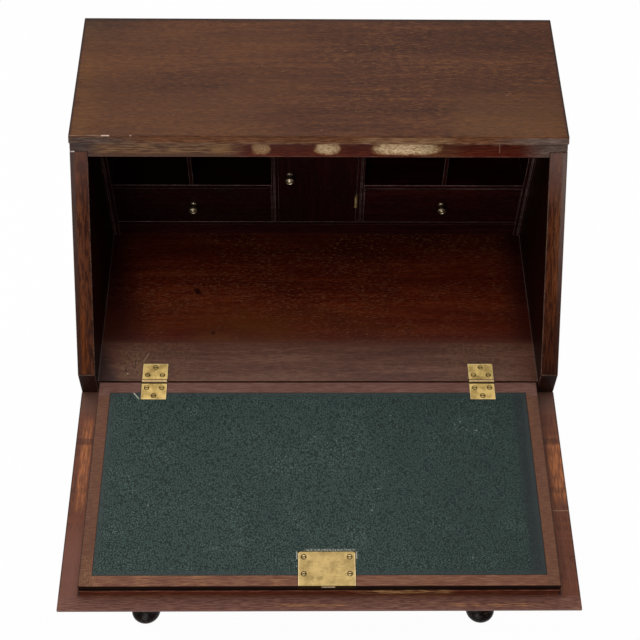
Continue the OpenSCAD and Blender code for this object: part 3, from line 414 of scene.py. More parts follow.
sideTones = {
    "slope": ((0.026, 0.0044, 0.0008), (0.100, 0.0250, 0.0070)),
    "amber": ((0.150, 0.032, 0.0012), (0.165, 0.056, 0.024)), "shadow": (0.010, 0.0008, 0.0002),
    "dust": (0.185, 0.104, 0.087), "rim": ((0.040, 0.014, 0.008), (0.165, 0.115, 0.102)),
    "leftRim": (0.012, 0.007, 0.006), "foot": (0.012, 0.0035, 0.0025),
    "inside": (0.0065, 0.0008, 0.0007), "chip": (0.80, 0.72, 0.64)}


# the sides: their sloping front edges catch the light, their insides are painted dark as painted shade
def sideExtra(place, colour, gloss):
    x, y, z = split(place)
    out, rise = abs(x), z - writingZ
    reach = slopeReach(y - hingeY, rise)
    # painted shade on the inner faces
    inside = ease(out, innerHalf + 0.0004, innerHalf)
    onSlope = ease(out, innerHalf, innerHalf + 0.0004) \
        * ease(out, caseHalf - 0.0002, caseHalf - 0.0006) * ease(rise, -0.002, 0.006)
    # the grain of the sloping edges runs down the slope
    lengthwise = reach.make("ShaderNodeCombineXYZ", {}, {0: reach * 0.10, 1: x, 2: z * 0.10})
    strands = ease(cloud(lengthwise, 420.0, 3.0, 0.6), 0.38, 0.62)
    rightSide = ease(x, -0.01, 0.01)
    leftSide = 1.0 - rightSide
    share = (0.25 + 0.50 * strands) * (1.0 - rightSide * ease(rise, 0.120, 0.060))
    share = share * (1.0 - 0.5 * leftSide * ease(rise, 0.060, 0.150))
    rim = ease(out, 0.2985, 0.3003) * onSlope
    foot = ease(rise, 0.024, 0.019) * ease(rise, -0.030, -0.014) \
        * ease(out, innerHalf - 0.0004, innerHalf + 0.0002) * ease(y, frontY + 0.0030, frontY + 0.0012)
    colour = layered(colour, sideTones, {
        "slope": (onSlope * 0.95, strands),
        "amber": (onSlope * ease(out, 0.2880, 0.2960) * share, ease(rise, 0.05, 0.16)),
        "shadow": onSlope * rightSide * ease(rise, 0.100, 0.020) * 0.55,
        "dust": onSlope * ease(rise, 0.165, 0.245) * (0.34 + 0.42 * rightSide),
        "rim": (rim * (0.50 + 0.30 * rightSide), ease(rise, 0.05, 0.225)),
        # painted shadow on the rim of the left side
        "leftRim": rim * leftSide * 0.45,
        "foot": foot * 0.9,
        "inside": inside * 0.94})
    return {"Base Color": colour, "Roughness": gloss - inside * 0.16}


def sideEdgeExtra(place, colour, gloss):
    x, _, z = split(place)
    # a painted highlight at the top corner of the left side's slope
    chip = hump(x, -0.3015, 0.0020, 0.0010) * ease(z, writingZ + 0.2290, writingZ + 0.2300)
    return {"Base Color": layered(colour, sideTones, {"chip": chip * 0.9})}


# the writing bed: polished near the hinges as far as the rail goes, with pale joints at both sides;
# painted light on the rail and a painted glow behind it, painted shade towards the back and in the
# corners
bedTones = {
    "dull": (0.026, 0.0030, 0.0018), "bleached": (0.120, 0.040, 0.0075),
    "corners": (0.0100, 0.0016, 0.0022), "rear": (0.0090, 0.0014, 0.0012),
    "seam": (0.092, 0.031, 0.017), "dashes": (0.250, 0.105, 0.045), "knots": (0.006, 0.001, 0.001),
    "joint": (0.120, 0.080, 0.070), "glow": (0.062, 0.0085, 0.0030)}
railTones = {
    "corner": (0.016, 0.0045, 0.0040), "joint": (0.120, 0.080, 0.070), "seam": (0.078, 0.019, 0.008),
    "bare": (0.250, 0.150, 0.062), "cuts": (0.008, 0.003, 0.002), "flecks": (0.50, 0.38, 0.28),
    "dirt": (0.165, 0.074, 0.030), "besideBrass": (0.012, 0.005, 0.003)}


def bedPolish(deepIn):
    return ease(deepIn, 0.090, 0.052) * 0.26


def bedJoint(x):
    return hump(abs(x), innerHalf - 0.0010, 0.0005, 0.0006)


def bedExtra(place, colour, gloss):
    x, y = split(place)[:2]
    deepIn = y - hingeY
    stain = fibres(place, 0.6, 12.0, 4.0, 0.6)
    dull = ease(stain, 0.50, 0.66)
    # a bleached golden strip behind the rail, wider on the left
    patchy = ease(fibres(place, 0.4, 14.0, 3.0, 0.5, (0.2, 0.6, 0.0)), 0.38, 0.60)
    bleached = ease(deepIn, 0.135, 0.075) * patchy * (0.22 + 0.50 * ease(x, 0.03, -0.12))
    # painted shadows cast by the sides into the corners along both sides, slanting on the left
    corners = greatest(ease(x + deepIn * 0.20, -0.195, -0.245), ease(x, 0.240, 0.280))
    dashes = ease(fibres(place, 0.34, 560.0), 0.56, 0.67) * ease(stain, 0.40, 0.56)
    knots = hump(x + deepIn * 0.5, -0.0895, 0.0022, 0.003) * hump(deepIn, 0.1440, 0.0030, 0.003) \
        + hump(x, -0.1380, 0.0012, 0.002) * hump(deepIn, 0.0760, 0.0015, 0.002)
    colour = layered(colour, bedTones, {
        "dull": dull * 0.45,
        "bleached": bleached,
        "corners": corners * 0.72,
        # painted shade: darker towards the back of the bed
        "rear": ease(deepIn, 0.200, 0.245) * 0.50,
        # painted shading: the bed lightens where it meets the lit rail
        "seam": ease(deepIn, 0.0680, 0.0600) * 0.6,
        "dashes": dashes * (1.0 - corners) * 0.42,
        "knots": knots * 0.85,
        "joint": bedJoint(x) * 0.55,
        # a painted glow of light just behind the rail
        "glow": hump(deepIn, 0.085, 0.020, 0.02) * 0.35})
    return {"Base Color": colour, "Roughness": gloss + dull * 0.05, "Coat Weight": bedPolish(deepIn)}


def railExtra(place, colour, gloss):
    x, y = split(place)[:2]
    deepIn = y - hingeY
    # bare wood, cuts and flecks by the left hinge
    rough = ease(cloud(stretched(place, (1.0, 0.45, 1.0)), 560.0, 3.0, 0.65), 0.50, 0.64)
    nearHinge = hump(x, -0.241, 0.011, 0.010) * hump(deepIn, 0.026, 0.016, 0.010)
    cuts = hump(x - deepIn * 0.08, -0.2495, 0.0005, 0.0005) * hump(deepIn, 0.0180, 0.0035, 0.001) \
        + hump(x - deepIn * 0.07, -0.2384, 0.0005, 0.0005) * hump(deepIn, 0.0265, 0.0065, 0.001)
    slant = hump(x - deepIn * 0.50, -0.2417, 0.0004, 0.0005) * hump(deepIn, 0.0370, 0.0060, 0.001)
    fleck = hump(x, -0.2455, 0.0006, 0.0005) * hump(deepIn, 0.0117, 0.0006, 0.0005)
    dirt = ease(cloud(place, 300.0, 3.0), 0.44, 0.62) * hump(abs(x), hingeLeaf["middle"], 0.030, 0.03)
    colour = layered(colour, railTones, {
        # painted shadow of the left side, slanting across the rail's left end
        "corner": ease(x + deepIn * 0.45, -0.245, -0.268) * 0.8,
        "joint": bedJoint(x) * 0.55,
        # painted shading: the rail darkens towards the shaded bed
        "seam": ease(deepIn, 0.0500, 0.0600) * 0.5,
        "bare": rough * nearHinge * 0.55,
        "cuts": cuts * 0.9,
        "flecks": slant * 0.5 + fleck,
        "dirt": dirt * 0.42,
        "besideBrass": besideBrass(x, y) * 0.8})
    return {"Base Color": colour, "Coat Weight": bedPolish(deepIn)}


galleryTones = {"leftHalf": (0.0030, 0.0003, 0.0003), "grime": (0.0040, 0.0006, 0.0006)}


def galleryExtra(place, colour, gloss):
    x = split(place)[0]
    # grime and painted shade in random patches
    grime = ease(cloud(place, 34.0, 4.0, 0.6), 0.40, 0.66)
    colour = layered(colour, galleryTones, {
        # painted shade over the left half of the gallery
        "leftHalf": ease(x, 0.12, -0.04) * 0.55,
        "grime": grime * 0.35})
    return {"Base Color": colour, "Roughness": gloss + grime * 0.06}


legTones = {"knee": (0.034, 0.0085, 0.0042), "scuffs": (0.075, 0.035, 0.020)}


def legExtra(place, colour, gloss):
    z = split(place)[2]
    # painted shade: the legs lighten towards the knees and stay darkest at the feet
    knee = ease(z, 0.10, 0.36) * ease(cloud(place, 22.0, 4.0, 0.6), 0.30, 0.62)
    scuffs = ease(cloud(stretched(place, (1.0, 1.0, 0.3)), 240.0, 3.0, 0.6), 0.56, 0.66) \
        * ease(z, 0.05, 0.01)
    colour = layered(colour, legTones, {"knee": knee * 0.75, "scuffs": scuffs * 0.5})
    return {"Base Color": colour, "Roughness": gloss + scuffs * 0.2}


fallTones = {
    "bands": ((0.075, 0.022, 0.012), (0.210, 0.066, 0.032)), "sun": (0.520, 0.175, 0.056),
    "lipRear": (0.125, 0.068, 0.050), "lipFront": (0.200, 0.082, 0.062), "rings": (0.055, 0.018, 0.011),
    "scored": (0.40, 0.22, 0.13), "outer": (0.040, 0.014, 0.009),
    "frontLip": ((0.115, 0.042, 0.031), (0.240, 0.110, 0.080)), "gold": (0.40, 0.185, 0.066),
    "border": ((0.150, 0.054, 0.031), (0.270, 0.120, 0.066)), "tan": (0.44, 0.205, 0.080),
    "flanks": ((0.115, 0.043, 0.023), (0.165, 0.074, 0.036)), "chips": (0.42, 0.205, 0.080),
    "upperStep": (0.0030, 0.0006, 0.0005),
    "lowerStep": ((0.050, 0.0070, 0.0030), (0.150, 0.0300, 0.0120)),
    "shelf": (0.0035, 0.0007, 0.0005), "ledge": (0.330, 0.115, 0.068), "shiny": (0.62, 0.34, 0.14),
    "rear": ((0.135, 0.056, 0.043), (0.220, 0.112, 0.090)), "besideBrass": (0.012, 0.005, 0.003),
    "grime": (0.012, 0.0032, 0.0024), "handled": (0.175, 0.062, 0.024),
    "unhandled": (0.045, 0.012, 0.006)}


# the side lips: reddish, banded across, with an orange patch worn on each; the front lip: duller and
# pinker, with gold rubbed along its front and right corner
def lipCoats(place, x, reach, lip, scuffed, flow):
    along = ease(cloud(stretched(place, (1.0, 0.14, 1.0)), 460.0, 3.0, 0.6), 0.40, 0.62)
    bands = cloud(stretched(place, (0.04, 1.0, 0.04)), 85.0, 3.0, 0.6)
    sides = ease(abs(x), 0.2825, 0.2850)
    sun = hump(reach, 0.118, 0.034, 0.02) * ease(x, 0.2860, 0.2890) \
        + hump(reach, 0.110, 0.045, 0.03) * hump(x, -0.2915, 0.0040, 0.0040)
    rings = hump(reach, 0.0790, 0.0030, 0.0030) + hump(reach, 0.1480, 0.0020, 0.0040) * 0.6
    scored = hump(reach, 0.1765, 0.0004, 0.0005) * ease(x, 0.284, 0.286)
    front = ease(reach, 0.286, 0.290)
    rubbedEdge = hump(reach, 0.2985, 0.0014, 0.0016) \
        * (hump(x, -0.008, 0.030, 0.02) + hump(x, 0.200, 0.035, 0.03) * 0.8)
    rightCorner = ease(x, 0.190, 0.270) * front
    return {
        "bands": (lip * sides * ease(bands, 0.35, 0.65) * 0.8, bands),
        "sun": sun * lip * (0.25 + 0.75 * along) * 0.66,
        "lipRear": lip * sides * ease(reach, 0.052, 0.018) * 0.65,
        "lipFront": lip * sides * ease(reach, 0.180, 0.240) * ease(x, 0.0, -0.01) * 0.55,
        "rings": lip * sides * rings * 0.6,
        "scored": scored * lip * 0.55,
        "outer": ease(abs(x), caseHalf - 0.0020, caseHalf - 0.0006) * lip * 0.7,
        "frontLip": (lip * front * 0.8, flow),
        "gold": lip * flow * (rubbedEdge + rightCorner * scuffed * 0.4) * 0.75}


# the field: tan wear in front of the leather, fine ripples across the flanks, a step down at its end
def fieldCoats(place, x, y, z, reach, scuffed, flow):
    inField = ease(abs(x), fieldHalf, fieldHalf - 0.0006)
    onField = ease(z, writingZ - 0.0012, writingZ - 0.0006) * inField
    border = onField * ease(reach, 0.2628, 0.2640)
    ripple = ease(fibres(place, 0.16, 620.0, 2.0, 0.6), 0.40, 0.62)
    corner = hump(x, -0.2665, 0.006, 0.010) * hump(reach, 0.266, 0.014, 0.014)
    # the step is painted with shade above and light below, and a narrow shelf between in painted shade
    # with a painted highlight on its front arris
    step = ease(reach, 0.2810, 0.2814) * ease(z, writingZ - 0.0006, writingZ - 0.0014) * inField
    lower = step * ease(z, writingZ - 0.0106, writingZ - 0.0110) \
        * ease(z, writingZ - 0.0176, writingZ - 0.0170)
    shelf = hump(z, writingZ - 0.0104, 0.0003, 0.0003) * step
    ledge = shelf * ease(reach, 0.2824, 0.2831)
    return {
        "border": (border * 0.75, flow),
        "tan": border * (ease(x, 0.02, -0.04) * scuffed * flow) * 0.7,
        "flanks": (onField * ease(abs(x), 0.2650, flankHalf) * 0.75, ripple),
        "chips": ease(cloud(place, 620.0, 3.0, 0.6), 0.50, 0.66) * corner * onField * 0.6,
        "upperStep": step * ease(z, writingZ - 0.0102, writingZ - 0.0098) * 0.97,
        "lowerStep": (lower * 0.9, flow),
        "shelf": shelf * 0.95,
        "ledge": ledge * (0.35 + 0.65 * flow),
        "shiny": (ledge + lower) * hump(x, 0.100, 0.035, 0.03) * flow * 0.8,
        "rear": (onField * ease(reach, 0.0230, 0.0215) * 0.7, flow),
        "besideBrass": besideBrass(x, y) * onField * 0.8,
        # painted shade along the field's edges beside the side lips
        "grime": hump(abs(x), fieldHalf, 0.0010, 0.0010) * ease(reach, 0.290, 0.284) * 0.85}


def fallExtra(place, colour, gloss):
    x, y, z = split(place)
    reach = hingeY - y
    lip = ease(z, writingZ - 0.0130, writingZ - 0.0150) * ease(z, writingZ - 0.0205, writingZ - 0.0190)
    scuffed = ease(cloud(stretched(place, (0.6, 0.25, 1.0)), 30.0, 4.0, 0.6), 0.46, 0.66)
    flow = ease(fibres(place, 0.09, 720.0, 4.0, 0.6), 0.40, 0.64)
    # outside, a century of hands: rubbed along the edges and round the keyhole, darker below
    outside = ease(z, writingZ - 0.0238, writingZ - 0.0243)
    handled = ease(abs(x), 0.255, 0.302) + ease(reach, 0.262, 0.300) + ease(reach, 0.030, 0.004)
    colour = layered(colour, fallTones, {
        **lipCoats(place, x, reach, lip, scuffed, flow),
        **fieldCoats(place, x, y, z, reach, scuffed, flow),
        "handled": outside * handled * scuffed * 0.45,
        "unhandled": outside * ease(reach, 0.16, 0.02) * (1.0 - scuffed) * 0.30})
    return {"Base Color": colour, "Roughness": gloss + lip * 0.04 - outside * 0.10}


leatherLook = {
    "deep": (0.0070, 0.0175, 0.0150), "green": (0.0450, 0.0800, 0.0675), "glint": (0.140, 0.205, 0.170),
    "spots": (0.38, 0.43, 0.38), "margin": (0.017, 0.026, 0.025), "rightEdge": (0.015, 0.019, 0.020),
    "besideBrass": (0.004, 0.006, 0.005), "frayed": (0.50, 0.48, 0.38),
    "pebble": 430.0, "sway": 0.0012, "rough": 0.46, "shine": 0.20, "height": 0.00045, "relief": 0.9}


# pale threads at the rear edge and corners of the lock plate and a slanting one by the left hinge
def frayedEdges(place, x, y):
    rear = lockPlate["rear"]
    fray = hump(x, lockPlate["x"] + 0.004, 0.026, 0.006) * hump(y, rear + 0.0022, 0.0007, 0.0014) \
        * ease(cloud(place, 620.0, 3.0, 0.7), 0.47, 0.57)
    corners = hump(abs(x - lockPlate["x"]), lockPlate["half"] + 0.0016, 0.0005, 0.0007) \
        * hump(y, rear - 0.0045, 0.0040, 0.0015)
    thread = hump(x * 0.788 + (y - hingeY) * 0.616 + 0.1962, 0.0, 0.0005, 0.0005) \
        * ease(y, hingeY - 0.0275, hingeY - 0.0255)
    return greatest(fray, thread, corners * 0.7)


def makeLeather(name, look):
    material, shader, place = newFinish(name)
    x, y = split(place)[:2]
    # pebbles, slightly swayed so that their rows don't show
    sway = cloud(place, 160.0, 1.0).outlets()[1]
    bent = place.make("ShaderNodeVectorMath", {"operation": "MULTIPLY_ADD"},
                      {0: sway, 1: (look["sway"],) * 3, 2: place})
    pebbles = {"Vector": bent, "Scale": look["pebble"], "Randomness": 1.0}
    cells, tints = place.make("ShaderNodeTexVoronoi", {"feature": "F1"}, pebbles).outlets()[:2]
    toEdge = place.make("ShaderNodeTexVoronoi", {"feature": "DISTANCE_TO_EDGE"}, pebbles)
    creases = ease(toEdge, 0.0, 0.20)
    crown = creases * (1.0 - cells * 0.6)
    mottled = cloud(place, 14.0, 4.0, 0.6)
    blotch = cloud(place, 90.0, 3.0, 0.6)
    # the skin is pressed smooth along its margins, and single pebbles carry painted highlights
    margin = greatest(ease(abs(x), 0.2545, 0.2620), ease(abs(y - (hingeY - 0.1429)), 0.1165, 0.1230))
    gathered = hump(x, 0.196, 0.012, 0.030) * hump(y, hingeY - 0.062, 0.012, 0.030) \
        + hump(x, 0.000, 0.030, 0.050) * hump(y, hingeY - 0.112, 0.010, 0.030) * 0.6
    cluster = ease(cloud(place, 24.0, 4.0, 0.6), 0.46, 0.66) + gathered
    cluster = cluster.maths("MINIMUM", cluster, 1.0)
    glint = ease(cells, 0.66, 0.20) * ease(split(tints)[0], 0.20, 0.95) * (0.30 + 0.70 * cluster) \
        * (1.0 - margin * 0.8)
    # pale specks in clusters: painted highlights on the pebbles
    spots = ease(cloud(place, 230.0, 1.0) + gathered * 0.035, 0.770, 0.795) * (0.3 + 0.7 * cluster)
    greenness = ease(crown * 0.75 + mottled * 0.20 + blotch * 0.20, 0.25, 0.80)
    colour = layered(paint(look["deep"], look["green"], greenness), look, {
        "glint": glint * 0.58,
        "spots": spots * (1.0 - margin) * 0.7,
        "margin": margin * 0.5,
        # painted shade: the right of the skin darker than its left
        "deep": ease(x, 0.02, 0.20) * 0.30,
        "rightEdge": ease(x, 0.2450, 0.2500) * 0.6,
        "besideBrass": besideBrass(x, y) * 0.85,
        "frayed": frayedEdges(place, x, y) * 0.9})
    height = crown * (1.0 - margin * 0.8) + cloud(place, 1500.0, 2.0, 0.6) * 0.25
    plug(shader, {"Base Color": colour, "Roughness": look["rough"] - 0.10 * crown + 0.2 * glint,
                  "Specular IOR Level": look["shine"],
                  "Normal": raised(height, look["height"], look["relief"])})
    return material


# rim says whether the rubbed rim is the lock plate's (1) or that of the hinge leaves (0)
brassLook = {
    "bright": (0.62, 0.440, 0.160), "dull": (0.45, 0.310, 0.108), "stain": (0.075, 0.042, 0.016),
    "rubbed": (0.86, 0.68, 0.38), "rings": (0.070, 0.036, 0.014), "seam": (0.012, 0.006, 0.004),
    "pin": (0.62, 0.42, 0.26), "lockEdge": (0.030, 0.014, 0.007),
    "rough": 0.46, "edge": 0.9, "blotch": 1.0, "rim": 0.0, "height": 0.00025, "relief": 0.5}
lockLook = dict(brassLook, bright=(0.41, 0.290, 0.116), dull=(0.31, 0.216, 0.084), blotch=0.7, rim=1.0)
screwLook = dict(brassLook, bright=(0.10, 0.064, 0.024), dull=(0.050, 0.032, 0.012),
                 stain=(0.02, 0.012, 0.006), edge=0.0)
knobLook = dict(brassLook, bright=(0.44, 0.36, 0.24), dull=(0.24, 0.18, 0.11), stain=(0.05, 0.03, 0.02),
                rough=0.30, edge=0.0)
boltLook = dict(brassLook, bright=(0.88, 0.74, 0.50), dull=(0.78, 0.63, 0.41), rough=0.50, edge=0.0)


# dirt in rings round the screws, whose places are across and along the leaf or the plate
def screwRings(y, side, near, lockSide):
    holes = [(side, near, 0.0096, 0.0097), (side, near, 0.0, 0.0216)]
    holes += [(lockSide, y, lockScrews["x"], lockScrews[row]) for row in ("low", "high")]
    rings = []
    for across, along, u, v in holes:
        away = ((across - u) * (across - u) + (along - v) * (along - v)) ** 0.5
        rings.append(hump(away, 0.0030, 0.0003, 0.0005))
    return greatest(*rings)


def makeBrass(name, look):
    material, shader, place = newFinish(name)
    x, y, z = split(place)
    tarnish = ease(cloud(place, 95.0, 4.0, 0.62), 0.36, 0.70) * look["blotch"]
    spots = ease(cloud(place, 420.0, 2.0, 0.6), 0.60, 0.72) * look["blotch"]
    scratch = ease(cloud(stretched(place, (1.0, 0.08, 1.0)), 2200.0), 0.50, 0.75)
    brushed = ease(fibres(place, 0.12, 420.0), 0.44, 0.62)
    side, near, lockSide = abs(abs(x) - hingeLeaf["middle"]), abs(y - hingeY), abs(x - lockPlate["x"])
    leafRim = greatest(ease(side, hingeLeaf["half"] - 0.0012, hingeLeaf["half"] - 0.0003),
                       ease(near, hingeLeaf["reach"] - 0.0013, hingeLeaf["reach"] - 0.0004))
    plateRim = ease(lockSide, lockPlate["half"] - 0.0016, lockPlate["half"] - 0.0004)
    rim = leafRim * (1.0 - look["rim"]) + plateRim * look["rim"]
    # painted shadow in the gaps before and behind the hinge knuckle
    seam = hump(y, hingeY - 0.0028, 0.0006, 0.0005) + hump(y, hingeY + 0.0031, 0.0003, 0.0004) * 0.8
    # the lock's front edge is painted dark: painted shade
    lockEdge = ease(y, hingeY - 0.2812, hingeY - 0.2817) * ease(z, writingZ - 0.0004, writingZ - 0.0012)
    colour = layered(paint(look["bright"], look["dull"], greatest(tarnish, brushed * 0.4)), look, {
        "stain": spots * 0.55,
        "rubbed": rim * look["edge"] * 0.45,
        "rings": screwRings(y, side, near, lockSide) * look["edge"] * 0.85,
        "seam": seam * 0.95,
        # a painted highlight along the hinge knuckle
        "pin": hump(y, hingeY, 0.0018, 0.0004) * 0.5,
        "lockEdge": lockEdge * look["edge"]})
    height = cloud(place, 130.0) + scratch * 0.1 - spots * 0.2
    plug(shader, {"Base Color": colour, "Metallic": 1.0 - spots * 0.35,
                  "Roughness": look["rough"] + 0.18 * tarnish + 0.15 * spots + 0.06 * scratch,
                  "Normal": raised(height, look["height"], look["relief"])})
    return material


topWood = makeWood("topMahogany", topLook, "x", topExtra)
topEdge = makeWood("topMahoganyEdge", edgeLook(topLook), "x", topExtra)
sideWood = makeWood("sideMahogany", sideLook, "z", sideExtra)
sideEdge = makeWood("sideMahoganyEdge", sideEdgeLook, "z", sideEdgeExtra)
railWood = makeWood("bedRailMahogany", railLook, "x", railExtra)
bedWood = makeWood("bedMahogany", bedLook, "x", bedExtra)
darkWoodX = makeWood("darkMahoganyAcross", darkLook, "x")
darkWoodZ = makeWood("darkMahoganyUpright", darkLook, "z")
darkEdge = makeWood("darkMahoganyEdge", edgeLook(edgeLook(darkLook)), "x")
galleryWood = makeWood("galleryMahogany", galleryLook, "x", galleryExtra)
galleryUpright = makeWood("galleryMahoganyUpright", galleryLook, "z", galleryExtra)
galleryEdge = makeWood("galleryMahoganyEdge", arrisLook, "x")
frontWood = makeWood("drawerFrontMahogany", frontLook, "x")
frontUpright = makeWood("frontUprightMahogany", frontLook, "z")
frontEdge = makeWood("drawerFrontMahoganyEdge", edgeLook(frontLook), "x")
fallMahogany = makeWood("fallMahogany", fallLook, "x", fallExtra, flankHalf)
fallEdge = makeWood("fallMahoganyEdge", edgeLook(fallLook), "x", fallExtra, flankHalf)
liningX = makeWood("drawerLiningAcross", liningLook, "x")
liningY = makeWood("drawerLiningDeep", liningLook, "y")
legWood = makeWood("legMahogany", legLook, "z", legExtra)
hide = makeLeather("greenHide", leatherLook)
agedBrass = makeBrass("agedBrass", brassLook)
knobBrass = makeBrass("knobBrass", knobLook)
lockBrass = makeBrass("lockBrass", lockLook)
boltBrass = makeBrass("boltBrass", boltLook)
screwBrass = makeBrass("screwBrass", screwLook)
print("finishes made:", len(bpy.data.materials))

# how the solids are dressed: welding distance, and in degrees what counts as flat, sharp and smooth
easing = {"weld": 0.000002, "flat": 0.6, "sharp": 35.0, "smooth": 22.0, "roundSmooth": 50.0,
          "legQuads": 60.0}


def setMode(mode):
    bpy.ops.object.mode_set(mode=mode)


def deselectAll():
    if bpy.context.object and bpy.context.object.mode != "OBJECT":
        setMode("OBJECT")
    bpy.ops.object.select_all(action="DESELECT")


def takeUp(piece):
    deselectAll()
    piece.select_set(True)
    bpy.context.view_layer.objects.active = piece


def pickFaces(piece, test):
    takeUp(piece)
    setMode("EDIT")
    bpy.ops.mesh.select_mode(type="FACE")
    bpy.ops.mesh.select_all(action="DESELECT")
    mesh = bmesh.from_edit_mesh(piece.data)
    for face in mesh.faces:
        if test(face):
            face.select_set(True)
    bmesh.update_edit_mesh(piece.data)


def applied(piece, kind, **settings):
    takeUp(piece)
    modifier = piece.modifiers.new(kind.lower(), kind)
    for key, value in settings.items():
        setattr(modifier, key, value)
    bpy.ops.object.modifier_apply(modifier=modifier.name)


# the wide flat faces keep their own normals, so no shading runs across them from the eased edges
def evened(piece):
    applied(piece, "WEIGHTED_NORMAL", keep_sharp=True)


def finished(piece, node, smooth):
    takeUp(piece)
    bpy.ops.object.transform_apply(location=True, rotation=True, scale=True)
    bpy.ops.object.shade_smooth_by_angle(angle=math.radians(smooth))
    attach(piece, bodyOfNode[node])
    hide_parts(node)
    return piece


def camel(node):
    first, *rest = node.split("_")
    return first + "".join(w.capitalize() for w in rest)


# a copy of a CAD solid, welded and all selected in edit mode
def copied(node, *finishes):
    piece = bpy.data.objects.new(camel(node), cadNodes[node].data.copy())
    scene.collection.objects.link(piece)
    piece.data.materials.clear()
    for finish in finishes:
        piece.data.materials.append(finish)
    takeUp(piece)
    setMode("EDIT")
    bpy.ops.mesh.select_all(action="SELECT")
    bpy.ops.mesh.remove_doubles(threshold=easing["weld"])
    return piece


def dressed(node, finish, edge, width):
    piece = copied(node, finish, edge)
    bpy.ops.mesh.dissolve_limited(angle_limit=math.radians(easing["flat"]))
    setMode("OBJECT")
    for face in piece.data.polygons:
        face.material_index = 0
    applied(piece, "BEVEL", width=width, segments=2, limit_method="ANGLE",
            angle_limit=math.radians(easing["sharp"]), material=1, use_clamp_overlap=True)
    return finished(piece, node, easing["smooth"])


# boards of the case, gallery and drawers: sharp joinery with its edges eased by the width given
boards = {
    "top_board": (topWood, topEdge, 0.0011), "left_side": (sideWood, sideEdge, 0.0010),
    "right_side": (sideWood, sideEdge, 0.0010), "back_panel": (darkWoodZ, darkEdge, 0.0006),
    "bed_rail": (railWood, railWood, 0.0004), "bed_panel": (bedWood, bedWood, 0.0004),
    "drawer_rails": (frontWood, frontEdge, 0.0006), "bottom_board": (darkWoodX, darkEdge, 0.0006),
    "loper_partitions": (frontUpright, frontEdge, 0.0005), "drawer_runners": (liningY, liningY, 0.0005),
    "base_moulding": (frontWood, frontEdge, 0.0004),
    "gallery_floor": (galleryWood, galleryEdge, 0.0006),
    "gallery_plinth": (darkWoodX, darkEdge, 0.0004),
    "gallery_ends": (darkWoodZ, galleryEdge, 0.0005),
    "gallery_partitions": (galleryUpright, galleryEdge, 0.0006),
    "gallery_shelves": (galleryWood, galleryEdge, 0.0006),
    "gallery_dividers": (galleryUpright, galleryEdge, 0.0005),
    "gallery_top": (darkWoodX, galleryEdge, 0.0005), "gallery_back": (darkWoodX, darkEdge, 0.0004),
    "fall_board": (fallMahogany, fallEdge, 0.0007),
    "loper_left": (frontWood, frontEdge, 0.0007), "loper_right": (frontWood, frontEdge, 0.0007),
    "top_drawer_front": (frontWood, frontEdge, 0.0004),
    "middle_drawer_front": (frontWood, frontEdge, 0.0004),
    "bottom_drawer_front": (frontWood, frontEdge, 0.0004),
    "top_drawer_box": (liningY, liningY, 0.0005), "top_drawer_bottom": (liningX, liningX, 0.0003),
    "middle_drawer_box": (liningY, liningY, 0.0005), "middle_drawer_bottom": (liningX, liningX, 0.0003),
    "bottom_drawer_box": (liningY, liningY, 0.0005), "bottom_drawer_bottom": (liningX, liningX, 0.0003),
    "left_small_drawer_front": (galleryWood, galleryEdge, 0.0006),
    "right_small_drawer_front": (galleryWood, galleryEdge, 0.0006),
    "left_small_drawer_tray": (liningY, liningY, 0.0004),
    "right_small_drawer_tray": (liningY, liningY, 0.0004),
    "cupboard_door": (galleryUpright, galleryEdge, 0.0007)}
for node, (finish, edge, width) in boards.items():
    evened(dressed(node, finish, edge, width))
print("boards eased:", len(boards))

# hinges, lock and bolt
brasses = {"bed_hinge_leaves": (agedBrass, 0.00018), "fall_hinge_leaves": (agedBrass, 0.00018),
           "fall_hinge_pins": (agedBrass, 0.00012), "door_hinge_plates": (agedBrass, 0.00012),
           "door_hinge_leaves": (agedBrass, 0.00012), "fall_lock": (lockBrass, 0.00025),
           "lock_bolt": (boltBrass, 0.0003), "keyhole_liner": (agedBrass, 0.00015)}
for node, (metal, width) in brasses.items():
    evened(dressed(node, metal, metal, width))

# screws, each with a bright middle inside a dark rim of this width
screws = {"bed_hinge_screws": 0.00050, "fall_hinge_screws": 0.00050, "lock_screws": 0.00065}


def topOfHead(face):
    return face.normal.z > 0.9 and face.calc_center_median().z > writingZ - 0.0010


for node, rimWidth in screws.items():
    screw = dressed(node, screwBrass, agedBrass, 0.00005)
    pickFaces(screw, topOfHead)
    bpy.ops.mesh.inset(thickness=rimWidth, use_individual=True)
    screw.active_material_index = 1
    bpy.ops.object.material_slot_assign()
    setMode("OBJECT")
print("brasses eased:", len(brasses) + len(screws))

evened(dressed("leather_panel", hide, hide, 0.0004))
print("leather laid")

# knobs, turned once for each size: radius and height of every ring, in head radii
knob = {"sides": 28, "length": 2.37, "rings": [
    (0.74, 0.0), (0.74, 0.12), (0.70, 0.20), (0.54, 0.30), (0.43, 0.50), (0.385, 0.80), (0.42, 1.02),
    (0.56, 1.18), (0.78, 1.32), (0.95, 1.52), (1.0, 1.75), (0.96, 1.98), (0.84, 2.14), (0.72, 2.20),
    (0.62, 2.17), (0.54, 2.10), (0.46, 2.14), (0.36, 2.26), (0.20, 2.33), (0.06, 2.35)]}
headRadii = {"top_drawer_knobs": 0.013, "middle_drawer_knobs": 0.013, "bottom_drawer_knobs": 0.013,
             "loper_knob_left": 0.006, "loper_knob_right": 0.006, "left_small_drawer_knob": 0.006,
             "right_small_drawer_knob": 0.006, "cupboard_knob": 0.006}


